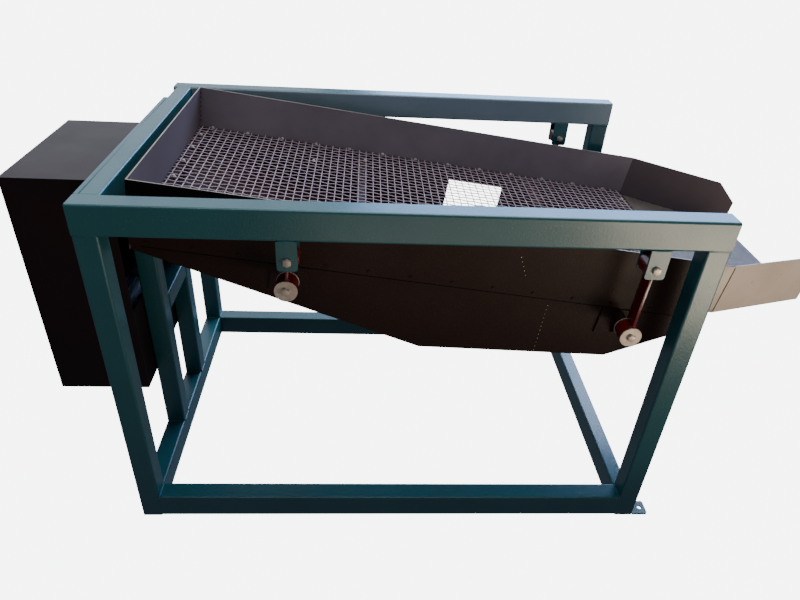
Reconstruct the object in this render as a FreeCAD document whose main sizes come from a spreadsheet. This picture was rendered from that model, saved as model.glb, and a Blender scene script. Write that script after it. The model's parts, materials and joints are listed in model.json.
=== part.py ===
import FreeCAD, Part

import math
import os
import re

import Sketcher

Vector = FreeCAD.Vector

# A swinging coal screen: a welded tube frame carries a sloping trough on four rubber-bushed
# rocker arms, and a belt-driven eccentric behind the feed end shakes it through a short rod.
# X runs from the feed end to the discharge end, Y away from the near side, Z up from the floor.
# The origin is the middle of the object's outline on the floor. Sizes are in millimetres.

SIZES = {
    # Welded frame of rectangular tube
    "frame_length": 1560,
    "frame_width": 1020,
    "frame_height": 1055,
    "rail_height": 80,
    "rail_width": 60,
    "cross_rail_width": 50,
    "leg_size": 60,
    "tube_wall": 4,
    "tube_corner": 6,
    "strip_thickness": 10,
    "strip_gap": 124,
    "end_cap_thickness": 4,
    "end_cap_clearance": 0.2,
    "end_rail_inset": 16,
    # Drilled foot plates outside the discharge legs
    "foot_length": 50,
    "foot_width": 50,
    "foot_thickness": 6,
    "foot_hole": 14,
    "foot_hole_reach": 32,
    # Posts that carry the drive
    "drive_line": -15,
    "post_spacing": 266,
    "tie_height": 512,
    # Clevis hangers under the long rails
    "feed_hanger_at": 486,
    "discharge_hanger_inset": 173,
    "hanger_width": 50,
    "hanger_length": 80,
    "hanger_thickness": 6,
    "hanger_corner": 8,
    "hinge_drop": 55,
    # Bolts of the eight pivots
    "pivot_bolt": 12,
    "bolt_head": 19,
    "bolt_head_height": 7.5,
    "nut_height": 10,
    "thread_past_nut": 2,
    "bolt_clearance": 0.25,
    # Rocker arms and their rubber bushes
    "feed_arm": 86.3,
    "feed_tilt": 5,
    "discharge_tilt": 2.75,
    "arm_thickness": 8,
    "arm_width": 43,
    "boss_diameter": 56,
    "boss_side_room": 2,
    "bush_diameter": 34,
    "side_clearance": 0.3,
    "running_clearance": 0.05,
    "lower_pivot_clearance": 0.3,
    "washer_diameter": 58,
    "washer_thickness": 3,
    # Brackets on the trough for the lower pivots
    "stub_diameter": 34,
    "bracket_length": 100,
    "bracket_below_pin": 66,
    "bracket_thickness": 6,
    "bracket_top_gap": 3,
    "gusset_thickness": 8,
    "gusset_setback": 10,
    "gusset_lap": 1,
    "pin_below_top": 11,
    "discharge_pin_extra": 8.41,
    # Trough, measured along its slope and down from its rim
    "slope": 7.2,
    "trough_setback": 103,
    "trough_side_room": 50,
    "trough_overhang": 100.6,
    "sheet": 4,
    "side_panel_depth": 175,
    "seam_lap": 25,
    "seam_edge": 12,
    "end_wall_depth": 190,
    "hopper_floor_length": 540,
    "hopper_low_depth": 388,
    "hopper_rise_inset": 250,
    "hopper_rise_depth": 341,
    "hopper_end_inset": 30,
    "hopper_end_depth": 212,
    "window_inset": 131,
    "window_length": 205,
    "window_drop": 191,
    "window_height": 130,
    # Spout
    "spout_length": 355,
    "spout_mouth_width": 500,
    "spout_chamfer_length": 63,
    "spout_chamfer_drop": 57,
    # Screen deck
    "deck_above_floor": 20,
    "deck_start": 6,
    "deck_end_room": 12,
    "wire": 3,
    "wire_pitch": 24,
    "wire_side_room": 20,
    "ledge_width": 30,
    "ledge_thickness": 4,
    "cross_bar_width": 30,
    "cross_bar_depth": 12,
    "cross_bar_first_at": 578,
    "cross_bar_second_inset": 380,
    # Clips and screw heads of the deck and of the seam
    "screw_head": 13,
    "screw_head_height": 5.5,
    "clip_width": 24,
    "clip_thickness": 2,
    "screw_edge": 15,
    "screw_wires_apart": 5,
    "seam_head": 8,
    "seam_head_height": 3,
    "seam_screw_pitch": 112,
    "seam_screw_first_at": 45,
    # Eccentric drive
    "rod_pin_reach": 60,
    "rod_pin_drop": 165,
    "rod_length": 119,
    "rod_width": 40,
    "rod_shank_width": 20,
    "rod_shank_height": 44,
    "rod_big_end": 96,
    "rod_small_end": 72,
    "rod_eye_bore": 50,
    "rod_pin": 20,
    "rod_bush": 30,
    "rod_ear_thickness": 8,
    "rod_ear_radius": 20,
    "rod_side_gap": 1,
    "eccentricity": 4,
    "journal_diameter": 50,
    "shaft_diameter": 25,
    "shaft_end": 4,
    "block_length": 140,
    "block_width": 38,
    "block_foot_gap": 1.5,
    "block_base": 14,
    "block_flare": 3,
    "block_housing": 70,
    # Belt drive
    "driven_pulley": 140,
    "motor_pulley": 80,
    "pulley_width": 40,
    "pulley_gap": 35,
    "groove_depth": 9,
    "belt_depth": 8,
    "belt_width": 8,
    "belt_gap": 0.5,
    "belt_spacing": 16,
    # Motor on its plate
    "motor_diameter": 150,
    "motor_length": 232,
    "motor_bell": 32,
    "motor_cowl": 64,
    "motor_cowl_taper": 12,
    "motor_centre_height": 90,
    "motor_drop": 42,
    "motor_shaft": 24,
    "motor_shaft_gap": 2,
    "motor_rib": 4,
    "motor_rib_height": 6,
    "motor_rib_root": 1,
    "motor_rib_count": 18,
    "motor_foot_length": 28,
    "motor_foot_width": 126,
    "motor_foot_inset": 46,
    "motor_foot_root": 52,
    "mount_plate_thickness": 10,
    "mount_plate_width": 330,
    "mount_plate_height": 190,
    # Sheet guard round the drive
    "guard_depth": 267,
    "guard_near_room": 17,
    "guard_far_room": 54,
    "guard_bottom_room": 65,
    "guard_top_room": 9.3,
    "guard_sill": 600,
    "guard_sheet": 3,
}

# Places worked out from the sizes, in the object's own axes
PLACES = {
    "trough_length": "(frame_length - trough_setback + trough_overhang) / cos(slope)",
    "trough_width": "frame_width - 2 * (rail_width + trough_side_room)",
    "spout_end": "trough_length + spout_length",
    "hopper_end_at": "trough_length - hopper_end_inset",
    "hopper_rise_at": "trough_length - hopper_rise_inset",
    "hopper_low_at": "hopper_rise_at - hopper_floor_length",
    "window_at": "hopper_low_at + window_inset",
    "cheek_top_drop": "side_panel_depth - seam_lap",
    "spout_depth": "cheek_top_drop",
    "seam_drop": "side_panel_depth - seam_edge",
    "deck_drop": "spout_depth - deck_above_floor",
    "deck_length": "trough_length - deck_start - deck_end_room",
    "cross_bar_second_at": "trough_length - cross_bar_second_inset",
    "pin_drop": "side_panel_depth + bracket_top_gap + pin_below_top",
    "frame_x": "-(trough_setback + spout_end * cos(slope) - spout_chamfer_drop * sin(slope)"
               " - guard_depth) / 2",
    "near_y": "-frame_width / 2",
    "rail_z": "frame_height - rail_height",
    "hinge_y": "near_y + rail_width / 2",
    "hinge_z": "rail_z - hinge_drop",
    "feed_hinge_x": "frame_x + feed_hanger_at",
    "discharge_hinge_x": "frame_x + frame_length - discharge_hanger_inset",
    "feed_pin_x": "feed_hinge_x - feed_arm * sin(feed_tilt)",
    "feed_pin_z": "hinge_z - feed_arm * cos(feed_tilt)",
    "trough_x": "frame_x + trough_setback",
    "trough_z": "feed_pin_z + (feed_pin_x - trough_x + pin_drop * sin(slope)) * tan(slope)"
                " + pin_drop * cos(slope)",
    "discharge_arm": "(pin_drop + discharge_pin_extra + (discharge_hinge_x - trough_x) * sin(slope)"
                     " + (hinge_z - trough_z) * cos(slope)) / cos(discharge_tilt - slope)",
    "discharge_pin_x": "discharge_hinge_x - discharge_arm * sin(discharge_tilt)",
    "discharge_pin_z": "hinge_z - discharge_arm * cos(discharge_tilt)",
    "panel_y": "trough_width / 2 - sheet",
    "cheek_y": "panel_y - sheet",
    "inner_gap": "rail_width - 2 * hanger_thickness",
    "boss_width": "inner_gap - 2 * boss_side_room - 2 * side_clearance",
    "long_wire_gaps": "floor((trough_width - 2 * sheet - 2 * wire_side_room) / wire_pitch)",
    "cross_wire_gaps": "floor((deck_length - 2 * wire) / wire_pitch)",
    "first_cross_wire": "deck_start + (deck_length - cross_wire_gaps * wire_pitch) / 2",
    "mesh_bottom": "-deck_drop - 2 * wire",
    "screw_pitch": "wire_pitch * screw_wires_apart",
    "first_screw": "first_cross_wire + wire_pitch / 2",
    "side_screw_y": "panel_y - screw_edge",
    "side_screw_gaps": "floor((deck_length - 2 * wire_pitch) / screw_pitch)",
    "end_screw_gaps": "2 * floor((panel_y - 2 * ledge_width) / screw_pitch)",
    "last_screw": "first_cross_wire + (cross_wire_gaps - 0.5) * wire_pitch",
    "seam_screw_gaps": "floor((trough_length - 2 * seam_screw_first_at) / seam_screw_pitch)",
    "rod_pin_x": "trough_x - rod_pin_reach * cos(slope) - rod_pin_drop * sin(slope)",
    "rod_pin_z": "trough_z + rod_pin_reach * sin(slope) - rod_pin_drop * cos(slope)",
    "journal_x": "rod_pin_x - rod_length * cos(slope)",
    "journal_z": "rod_pin_z + rod_length * sin(slope)",
    "shaft_x": "journal_x - eccentricity * sin(slope)",
    "shaft_z": "journal_z - eccentricity * cos(slope)",
    "near_post_y": "drive_line - post_spacing / 2",
    "far_post_y": "drive_line + post_spacing / 2",
    "motor_height": "tie_height - motor_drop",
    "motor_x": "frame_x - guard_sheet - mount_plate_thickness - motor_centre_height",
    "block_height": "block_housing / 2 + block_foot_gap",
    "pulley_line": "near_post_y - (block_width + pulley_width) / 2 - pulley_gap",
    "shaft_near_end": "pulley_line - pulley_width / 2 - shaft_end",
    "shaft_far_end": "far_post_y + block_width / 2 + shaft_end",
    "guard_near_y": "shaft_near_end - guard_near_room - guard_sheet",
    "guard_width": "shaft_far_end + guard_far_room + guard_sheet - guard_near_y",
    "guard_bottom": "motor_height - mount_plate_height / 2 - guard_bottom_room",
    "guard_top": "shaft_z + driven_pulley / 2 + guard_top_room + guard_sheet",
}

doc = FreeCAD.newDocument("coal_screen")
sheet = doc.addObject("Spreadsheet::Sheet", "Sizes")
for row, (word, number) in enumerate(SIZES.items(), start=1):
    sheet.set("A%d" % row, word)
    sheet.set("B%d" % row, str(number))
    sheet.setAlias("B%d" % row, word)
doc.recompute()


def bound(text, own=()):
    """Points each size and place named in an expression at the object that holds it."""
    def point(match):
        word = match.group(0)
        if word in SIZES:
            return "Sizes." + word
        if word in PLACES and word not in own:
            return "Places." + word
        return word
    return re.sub(r"[a-z_][a-z_0-9]*", point, str(text))


places = doc.addObject("App::VarSet", "Places")
for word, text in PLACES.items():
    places.addProperty("App::PropertyFloat", word, "Places", "worked out from the sizes")
    places.setExpression(word, bound(text, PLACES))
doc.recompute()


def value(text):
    """Returns what an expression comes to now."""
    return float(sheet.evalExpression(bound(text)))


def new_body(label, at=("0", "0", "0"), tilt=None):
    """Starts a body at a point, turned about Y by the expression tilt in degrees."""
    body = doc.addObject("PartDesign::Body", label)
    body.Label = label
    if tilt is not None:
        turn = FreeCAD.Rotation(Vector(0, 1, 0), value(tilt))
        body.Placement = FreeCAD.Placement(Vector(), turn)
    for axis, text in zip("xyz", at):
        if text != "0":
            body.setExpression(".Placement.Base." + axis, bound(text))
    return body


def in_trough(label):
    """Starts a body on the trough's own slope: X along the rim, Z square to it."""
    return new_body(label, ("trough_x", "0", "trough_z"), "slope")


def origin_part(body, role):
    """Finds one of a body's own planes or axes."""
    return [part for part in body.Origin.OriginFeatures if part.Role == role][0]


def new_sketch(body, plane, start="0"):
    """Lays a sketch on XY, XZ or YZ of the body, moved to the expression start."""
    sketch = body.newObject("Sketcher::SketchObject", body.Label + "_sketch")
    sketch.AttachmentSupport = (origin_part(body, plane + "_Plane"), [""])
    sketch.MapMode = "FlatFace"
    away = "-(%s)" % start if plane == "XZ" else start
    if start != "0":
        sketch.setExpression(".AttachmentOffset.Base.z", bound(away))
    return sketch


def tie_point(sketch, element, end, point):
    """Holds one end of a sketch element at a point given by two expressions."""
    for kind, text in zip(("DistanceX", "DistanceY"), point):
        rule = Sketcher.Constraint(kind, -1, 1, element, end, value(text))
        number = sketch.addConstraint(rule)
        sketch.setExpression("Constraints[%d]" % number, bound(text))


def polygon(sketch, points):
    """Draws a closed outline through points given as pairs of expressions."""
    spots = [Vector(value(across), value(up), 0) for across, up in points]
    first = sketch.GeometryCount
    count = len(points)
    for number in range(count):
        line = Part.LineSegment(spots[number], spots[(number + 1) % count])
        sketch.addGeometry(line, False)
    for number in range(count):
        after = first + (number + 1) % count
        sketch.addConstraint(Sketcher.Constraint("Coincident", first + number, 2, after, 1))
        tie_point(sketch, first + number, 1, points[number])


def circle(sketch, across, up, diameter):
    """Draws a circle at a point given by expressions."""
    centre = Vector(value(across), value(up), 0)
    number = sketch.addGeometry(Part.Circle(centre, Vector(0, 0, 1), value(diameter) / 2), False)
    rule = sketch.addConstraint(Sketcher.Constraint("Diameter", number, value(diameter)))
    sketch.setExpression("Constraints[%d]" % rule, bound(diameter))
    tie_point(sketch, number, 3, (across, up))


def box_outline(low_x, low_y, high_x, high_y):
    """Gives the four corners of a rectangle as expressions."""
    return [(low_x, low_y), (high_x, low_y), (high_x, high_y), (low_x, high_y)]


def hexagon(across, up, flats):
    """Gives the corners of a hexagon as expressions, from its width over the flats."""
    return [("%s + %s / sqrt(3) * cos(%d)" % (across, flats, angle),
             "%s + %s / sqrt(3) * sin(%d)" % (up, flats, angle))
            for angle in range(30, 390, 60)]


def pad(body, plane, start, length, outline=None, circles=(), holes=()):
    """Adds a slab that grows along the plane's third axis from start."""
    sketch = new_sketch(body, plane, start)
    if outline:
        polygon(sketch, outline)
    for across, up, diameter in list(circles) + list(holes):
        circle(sketch, across, up, diameter)
    feature = body.newObject("PartDesign::Pad", body.Label + "_pad")
    feature.Profile = sketch
    feature.Reversed = plane == "XZ"
    feature.setExpression("Length", bound(length))
    doc.recompute()
    return feature


def cut(body, plane, start, length, outline=None, circles=()):
    """Cuts a slab that grows along the plane's third axis from start."""
    sketch = new_sketch(body, plane, start)
    if outline:
        polygon(sketch, outline)
    for across, up, diameter in circles:
        circle(sketch, across, up, diameter)
    before = body.Shape.Volume
    feature = body.newObject("PartDesign::Pocket", body.Label + "_cut")
    feature.Profile = sketch
    feature.Reversed = plane != "XZ"
    feature.setExpression("Length", bound(length))
    doc.recompute()
    if body.Shape.Volume >= before:
        raise RuntimeError("a cut in %s removed nothing" % body.Label)
    return feature


def spin(body, points):
    """Turns an outline of (along Y, radius) expressions about the body's Y axis."""
    sketch = new_sketch(body, "YZ")
    polygon(sketch, points)
    feature = body.newObject("PartDesign::Revolution", body.Label + "_spin")
    feature.Profile = sketch
    feature.ReferenceAxis = (origin_part(body, "Y_Axis"), [""])
    feature.Angle = 360
    doc.recompute()
    return feature


def round_edges(body, base, direction, radius, wanted=None):
    """Rounds the straight edges of a feature that run along a direction."""
    names = []
    for number, edge in enumerate(base.Shape.Edges, start=1):
        if not isinstance(edge.Curve, Part.Line):
            continue
        if abs(edge.Curve.Direction.dot(direction)) < 0.999:
            continue
        if wanted is None or wanted(edge.CenterOfMass):
            names.append("Edge%d" % number)
    fillet = body.newObject("PartDesign::Fillet", body.Label + "_rounding")
    fillet.Base = (base, names)
    fillet.setExpression("Radius", bound(radius))
    doc.recompute()
    return fillet


def row(body, features, axis, length, gaps):
    """Repeats features along an axis of the body, at even gaps."""
    pattern = body.newObject("PartDesign::LinearPattern", body.Label + "_row")
    pattern.Originals = features
    pattern.Direction = (origin_part(body, axis + "_Axis"), [""])
    pattern.setExpression("Length", bound(length))
    pattern.setExpression("Occurrences", bound("%s + 1" % gaps))
    body.Tip = pattern
    doc.recompute()
    return pattern


def mirrored(label, source):
    """Makes the far side's twin of a near side piece."""
    twin = doc.addObject("Part::Mirroring", label)
    twin.Label = label
    twin.Source = source
    twin.Normal = Vector(0, 1, 0)
    doc.recompute()
    return twin


def gathered(label, members):
    """Keeps separate solids together in one named piece."""
    group = doc.addObject("Part::Compound", label)
    group.Label = label
    group.Links = members
    doc.recompute()
    return group


def copied(source, name, move):
    """Places another of a piece, moved along X by an expression."""
    link = doc.addObject("App::Link", name)
    link.LinkedObject = source
    link.setExpression(".Placement.Base.x", bound(move))
    doc.recompute()
    return link


def tube(label, axis, at, length, across, up):
    """Makes a hollow rectangular tube along an axis, from its lowest corner."""
    plane = {"X": "YZ", "Y": "XZ", "Z": "XY"}[axis]
    body = new_body(label, at)
    solid = pad(body, plane, "0", length, box_outline("0", "0", across, up))
    direction = {"X": Vector(1, 0, 0), "Y": Vector(0, 1, 0), "Z": Vector(0, 0, 1)}[axis]
    round_edges(body, solid, direction, "tube_corner")
    inside = box_outline("tube_wall", "tube_wall", across + " - tube_wall", up + " - tube_wall")
    cut(body, plane, "0", length, inside)
    return body


def make_frame():
    """Builds the rails, legs, posts, foot plates and tube caps of the welded frame."""
    far_x = "frame_x + frame_length"
    near = {
        "top_rail_near": tube("top_rail_near", "X", ("frame_x", "near_y", "rail_z"),
                              "frame_length", "rail_width", "rail_height"),
        "leg_feed_near": tube("leg_feed_near", "Z", ("frame_x", "near_y", "0"),
                              "rail_z", "leg_size", "leg_size"),
        "leg_discharge_near": tube("leg_discharge_near", "Z", (far_x + " - leg_size", "near_y", "0"),
                                   "rail_z", "leg_size", "leg_size"),
        "base_rail_near": tube("base_rail_near", "X", ("frame_x + leg_size", "near_y", "0"),
                               "frame_length - 2 * leg_size", "rail_width", "rail_height"),
    }
    pieces = []
    for label, piece in near.items():
        pieces.append(piece)
        pieces.append(mirrored(label.replace("near", "far"), piece))

    between = "frame_width - 2 * rail_width"
    inner_y = "near_y + rail_width"
    base_feed = tube("base_rail_feed", "Y", ("frame_x", inner_y, "0"),
                     between, "leg_size", "rail_height")
    base_end = tube("base_rail_discharge", "Y",
                    (far_x + " - end_rail_inset - cross_rail_width", inner_y, "0"),
                    between, "cross_rail_width", "rail_height")
    pieces += [base_feed, base_end]

    rail = tube("feed_rail_tube", "Y", ("frame_x + strip_thickness", inner_y, "rail_z"),
                between, "cross_rail_width", "rail_height")
    strip = new_body("feed_rail_strip", ("frame_x", inner_y, "rail_z"))
    pad(strip, "XZ", "0", between + " - strip_gap",
        box_outline("0", "0", "strip_thickness", "rail_height"))
    pieces.append(gathered("top_rail_feed", [rail, strip]))

    for label, line in (("drive_post_near", "near_post_y"), ("drive_post_far", "far_post_y")):
        pieces.append(tube(label, "Z", ("frame_x", line + " - leg_size / 2", "rail_height"),
                           "rail_z - rail_height", "leg_size", "leg_size"))
    pieces.append(tube("drive_post_tie", "Y",
                       ("frame_x", "near_post_y + leg_size / 2", "tie_height"),
                       "post_spacing - leg_size", "leg_size", "leg_size"))

    foot = new_body("foot_plate_near", (far_x, "near_y", "0"))
    plate = pad(foot, "XY", "0", "foot_thickness",
                box_outline("0", "0", "foot_length", "foot_width"))
    middle = value("foot_length / 2")
    round_edges(foot, plate, Vector(0, 0, 1), "foot_thickness", lambda point: point.x > middle)
    cut(foot, "XY", "0", "foot_thickness",
        circles=[("foot_hole_reach", "foot_width / 2", "foot_hole")])
    pieces.append(gathered("foot_plates", [foot, mirrored("foot_plate_far", foot)]))

    room = "(tube_wall + end_cap_clearance)"
    cap = new_body("rail_end_cap", ("frame_x", "near_y", "rail_z"))
    pad(cap, "YZ", "0", "end_cap_thickness",
        box_outline(room, room, "rail_width - " + room, "rail_height - " + room))
    other = copied(cap, "rail_end_cap_discharge", "frame_x + frame_length - end_cap_thickness")
    other.setExpression(".Placement.Base.y", bound("near_y"))
    other.setExpression(".Placement.Base.z", bound("rail_z"))
    pair = gathered("rail_end_caps_near", [cap, other])
    pieces.append(gathered("rail_end_caps", [pair, mirrored("rail_end_caps_far", pair)]))
    return pieces


def make_hangers():
    """Builds the clevis plates under the long rails and their through bolts."""
    low = "hinge_drop - hanger_length"
    plates = new_body("hanger_feed_near", ("feed_hinge_x", "near_y", "hinge_z"))
    side = box_outline("-hanger_width / 2", low, "hanger_width / 2", "hinge_drop")
    hole = [("0", "0", "pivot_bolt + 2 * bolt_clearance")]
    first = pad(plates, "XZ", "0", "hanger_thickness", side, holes=hole)
    middle = value("hinge_drop - hanger_length / 2")
    round_edges(plates, first, Vector(0, 1, 0), "hanger_corner",
                lambda point: point.z < middle)
    second = pad(plates, "XZ", "rail_width - hanger_thickness", "hanger_thickness", side,
                 holes=hole)
    limit = value("rail_width / 2")
    round_edges(plates, second, Vector(0, 1, 0), "hanger_corner",
                lambda point: point.z < middle and point.y > limit)
    other = copied(plates, "hanger_discharge_near", "discharge_hinge_x")
    other.setExpression(".Placement.Base.y", bound("near_y"))
    other.setExpression(".Placement.Base.z", bound("hinge_z"))
    near = gathered("hangers_near", [plates, other])
    hangers = gathered("hanger_plates", [near, mirrored("hangers_far", near)])

    bolt = new_body("hinge_bolt", ("feed_hinge_x", "near_y", "hinge_z"))
    pad(bolt, "XZ", "-bolt_head_height", "bolt_head_height", hexagon("0", "0", "bolt_head"))
    pad(bolt, "XZ", "0", "rail_width + nut_height + thread_past_nut",
        circles=[("0", "0", "pivot_bolt")])
    nut = new_body("hinge_nut", ("feed_hinge_x", "near_y", "hinge_z"))
    pad(nut, "XZ", "rail_width", "nut_height", hexagon("0", "0", "bolt_head"),
        holes=[("0", "0", "pivot_bolt + running_clearance")])
    members = [bolt, nut]
    for piece in (bolt, nut):
        twin = copied(piece, piece.Label + "_discharge", "discharge_hinge_x")
        twin.setExpression(".Placement.Base.y", bound("near_y"))
        twin.setExpression(".Placement.Base.z", bound("hinge_z"))
        members.append(twin)
    near_bolts = gathered("hinge_fasteners_near", members)
    far_bolts = mirrored("hinge_fasteners_far", near_bolts)
    return [hangers, gathered("hanger_fasteners", [near_bolts, far_bolts])]


def make_rocker(end, length, tilt, lower_clearance):
    """Builds one near rocker arm with its two bonded bushes, and the far twins."""
    at = (end + "_hinge_x", "hinge_y", "hinge_z")
    arm = new_body("rocker_%s_near" % end, at, tilt)
    half = "boss_width / 2"
    pad(arm, "XY", "-(%s) + boss_diameter / 2 - arm_thickness / 2" % length,
        "%s - boss_diameter + arm_thickness" % length,
        box_outline("-arm_thickness / 2", "-arm_width / 2", "arm_thickness / 2", "arm_width / 2"))
    for height in ("0", "-(%s)" % length):
        pad(arm, "XZ", "-" + half, "boss_width", circles=[("0", height, "boss_diameter")])
    for height in ("0", "-(%s)" % length):
        cut(arm, "XZ", "-" + half, "boss_width", circles=[("0", height, "bush_diameter")])

    upper = new_body("bush_%s_upper" % end, at, tilt)
    long_half = "(inner_gap / 2 - side_clearance)"
    spin(upper, box_outline("-" + long_half, "pivot_bolt / 2 + running_clearance",
                            long_half, "bush_diameter / 2"))
    lower = new_body("bush_%s_lower" % end, (end + "_pin_x", "hinge_y", end + "_pin_z"))
    spin(lower, box_outline("-" + half, "pivot_bolt / 2 + " + lower_clearance,
                            half, "bush_diameter / 2"))
    bushes = gathered("bushes_%s_near" % end, [upper, lower])
    return [arm, mirrored("rocker_%s_far" % end, arm),
            bushes, mirrored("bushes_%s_far" % end, bushes)]


def make_pin_brackets():
    """Builds the stub brackets, bolts and washers of the four lower pivots."""
    brackets = []
    bolts = []
    washers = []
    for end in ("feed", "discharge"):
        run = "(%s_pin_x - trough_x)" % end
        rise = "(%s_pin_z - trough_z)" % end
        along = "(%s * cos(slope) - %s * sin(slope))" % (run, rise)
        drop = "(%s * sin(slope) + %s * cos(slope))" % (run, rise)
        low = drop + " - bracket_below_pin"
        bracket = in_trough("pin_bracket_" + end)
        top = "-(side_panel_depth + bracket_top_gap)"
        bore = "pivot_bolt + 2 * running_clearance"
        pad(bracket, "XZ", "-(panel_y + bracket_thickness)", "bracket_thickness",
            box_outline(along + " - bracket_length / 2", low,
                        along + " + bracket_length / 2", top), holes=[(along, drop, bore)])
        reach = "(-panel_y - bracket_thickness - hinge_y - boss_width / 2 - side_clearance"
        reach += " - washer_thickness)"
        pad(bracket, "XZ", "-panel_y - bracket_thickness - " + reach, reach,
            circles=[(along, drop, "stub_diameter"), (along, drop, bore)])
        under = drop + " - stub_diameter / 2 + gusset_lap"
        face = "-panel_y - bracket_thickness"
        pad(bracket, "YZ", along + " - gusset_thickness / 2", "gusset_thickness",
            [(face, under), ("%s - %s + gusset_setback" % (face, reach), under),
             (face, low + " + gusset_thickness")])
        brackets.append(bracket)

        outer = "-(boss_width / 2 + side_clearance + washer_thickness)"
        bolt = new_body("pin_bolt_" + end, (end + "_pin_x", "hinge_y", end + "_pin_z"))
        pad(bolt, "XZ", outer + " - bolt_head_height", "bolt_head_height",
            hexagon("0", "0", "bolt_head"))
        pad(bolt, "XZ", outer,
            "boss_width + 2 * side_clearance + 2 * washer_thickness + " + reach,
            circles=[("0", "0", "pivot_bolt")])
        bolts.append(bolt)

        pair = new_body("pin_washers_" + end, (end + "_pin_x", "hinge_y", end + "_pin_z"))
        for start in (outer, "boss_width / 2 + side_clearance"):
            pad(pair, "XZ", start, "washer_thickness", circles=[
                ("0", "0", "washer_diameter"), ("0", "0", "pivot_bolt + 2 * running_clearance")])
        washers.append(pair)

    pieces = []
    for label, near in (("pin_brackets", brackets), ("pin_bolts", bolts), ("pin_washers", washers)):
        near_side = gathered(label + "_near", near)
        pieces.append(gathered(label, [near_side, mirrored(label + "_far", near_side)]))
    return pieces


def cheek_outline():
    """Gives the hopper cheek's outline along and down from the rim."""
    return [("sheet", "-cheek_top_drop"), ("sheet", "-end_wall_depth"),
            ("hopper_low_at", "-hopper_low_depth"), ("hopper_rise_at", "-hopper_rise_depth"),
            ("hopper_end_at", "-hopper_end_depth"), ("hopper_end_at", "-cheek_top_drop")]


def hopper_sheet(label, start, finish):
    """Makes one bottom sheet of the hopper between two points of the cheek's outline."""
    body = in_trough(label)
    pad(body, "XZ", "-cheek_y", "2 * cheek_y",
        [start, finish, (finish[0], finish[1] + " + sheet"), (start[0], start[1] + " + sheet")])
    return body


def make_trough():
    """Builds the side panels, end wall, hopper and spout of the trough."""
    side = in_trough("side_panel_near")
    pad(side, "XZ", "-trough_width / 2", "sheet",
        [("0", "0"), ("0", "-side_panel_depth"), ("hopper_end_at", "-side_panel_depth"),
         ("hopper_end_at", "-spout_depth"), ("trough_length", "-spout_depth"),
         ("trough_length", "0")])

    end = in_trough("feed_end_wall")
    pad(end, "YZ", "0", "sheet", box_outline("-panel_y", "-end_wall_depth", "panel_y", "0"))

    cheek = in_trough("hopper_cheek_near")
    pad(cheek, "XZ", "-panel_y", "sheet", cheek_outline())

    far = in_trough("hopper_cheek_far")
    pad(far, "XZ", "cheek_y", "sheet", cheek_outline())
    window = box_outline("window_at", "-window_drop - window_height",
                         "window_at + window_length", "-window_drop")
    cut(far, "XZ", "cheek_y", "sheet", window)

    slope_sheet = hopper_sheet("hopper_slope_sheet", ("sheet", "-end_wall_depth"),
                               ("hopper_low_at", "-hopper_low_depth"))
    floor_sheet = hopper_sheet("hopper_floor_sheet", ("hopper_low_at", "-hopper_low_depth"),
                               ("hopper_rise_at", "-hopper_rise_depth"))
    rise = in_trough("hopper_rise_sheet")
    pad(rise, "XZ", "-cheek_y", "2 * cheek_y",
        [("hopper_rise_at", "-hopper_rise_depth"), ("hopper_end_at", "-hopper_end_depth"),
         ("hopper_end_at", "-spout_depth"), ("hopper_end_at - sheet", "-spout_depth"),
         ("hopper_end_at - sheet", "-hopper_end_depth + sheet / 2"),
         ("hopper_rise_at", "-hopper_rise_depth + sheet")])

    spread = "(trough_width - spout_mouth_width) / 2"
    wall = in_trough("spout_wall_near")
    pad(wall, "XY", "-spout_depth", "spout_depth",
        [("trough_length", "-trough_width / 2"), ("spout_end", "-spout_mouth_width / 2"),
         ("spout_end", "-spout_mouth_width / 2 + sheet"), ("trough_length", "-panel_y")])
    cut(wall, "XZ", "-trough_width / 2", spread + " + sheet",
        [("spout_end - spout_chamfer_length", "0"), ("spout_end", "-spout_chamfer_drop"),
         ("spout_end", "0")])

    floor = in_trough("spout_floor")
    pad(floor, "XY", "-spout_depth", "sheet",
        [("hopper_end_at - sheet", "-panel_y"), ("trough_length", "-panel_y"),
         ("spout_end", "-spout_mouth_width / 2 + sheet"),
         ("spout_end", "spout_mouth_width / 2 - sheet"), ("trough_length", "panel_y"),
         ("hopper_end_at - sheet", "panel_y")])
    return [side, mirrored("side_panel_far", side), end, cheek, far, slope_sheet, floor_sheet,
            rise, wall, mirrored("spout_wall_far", wall), floor]


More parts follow.
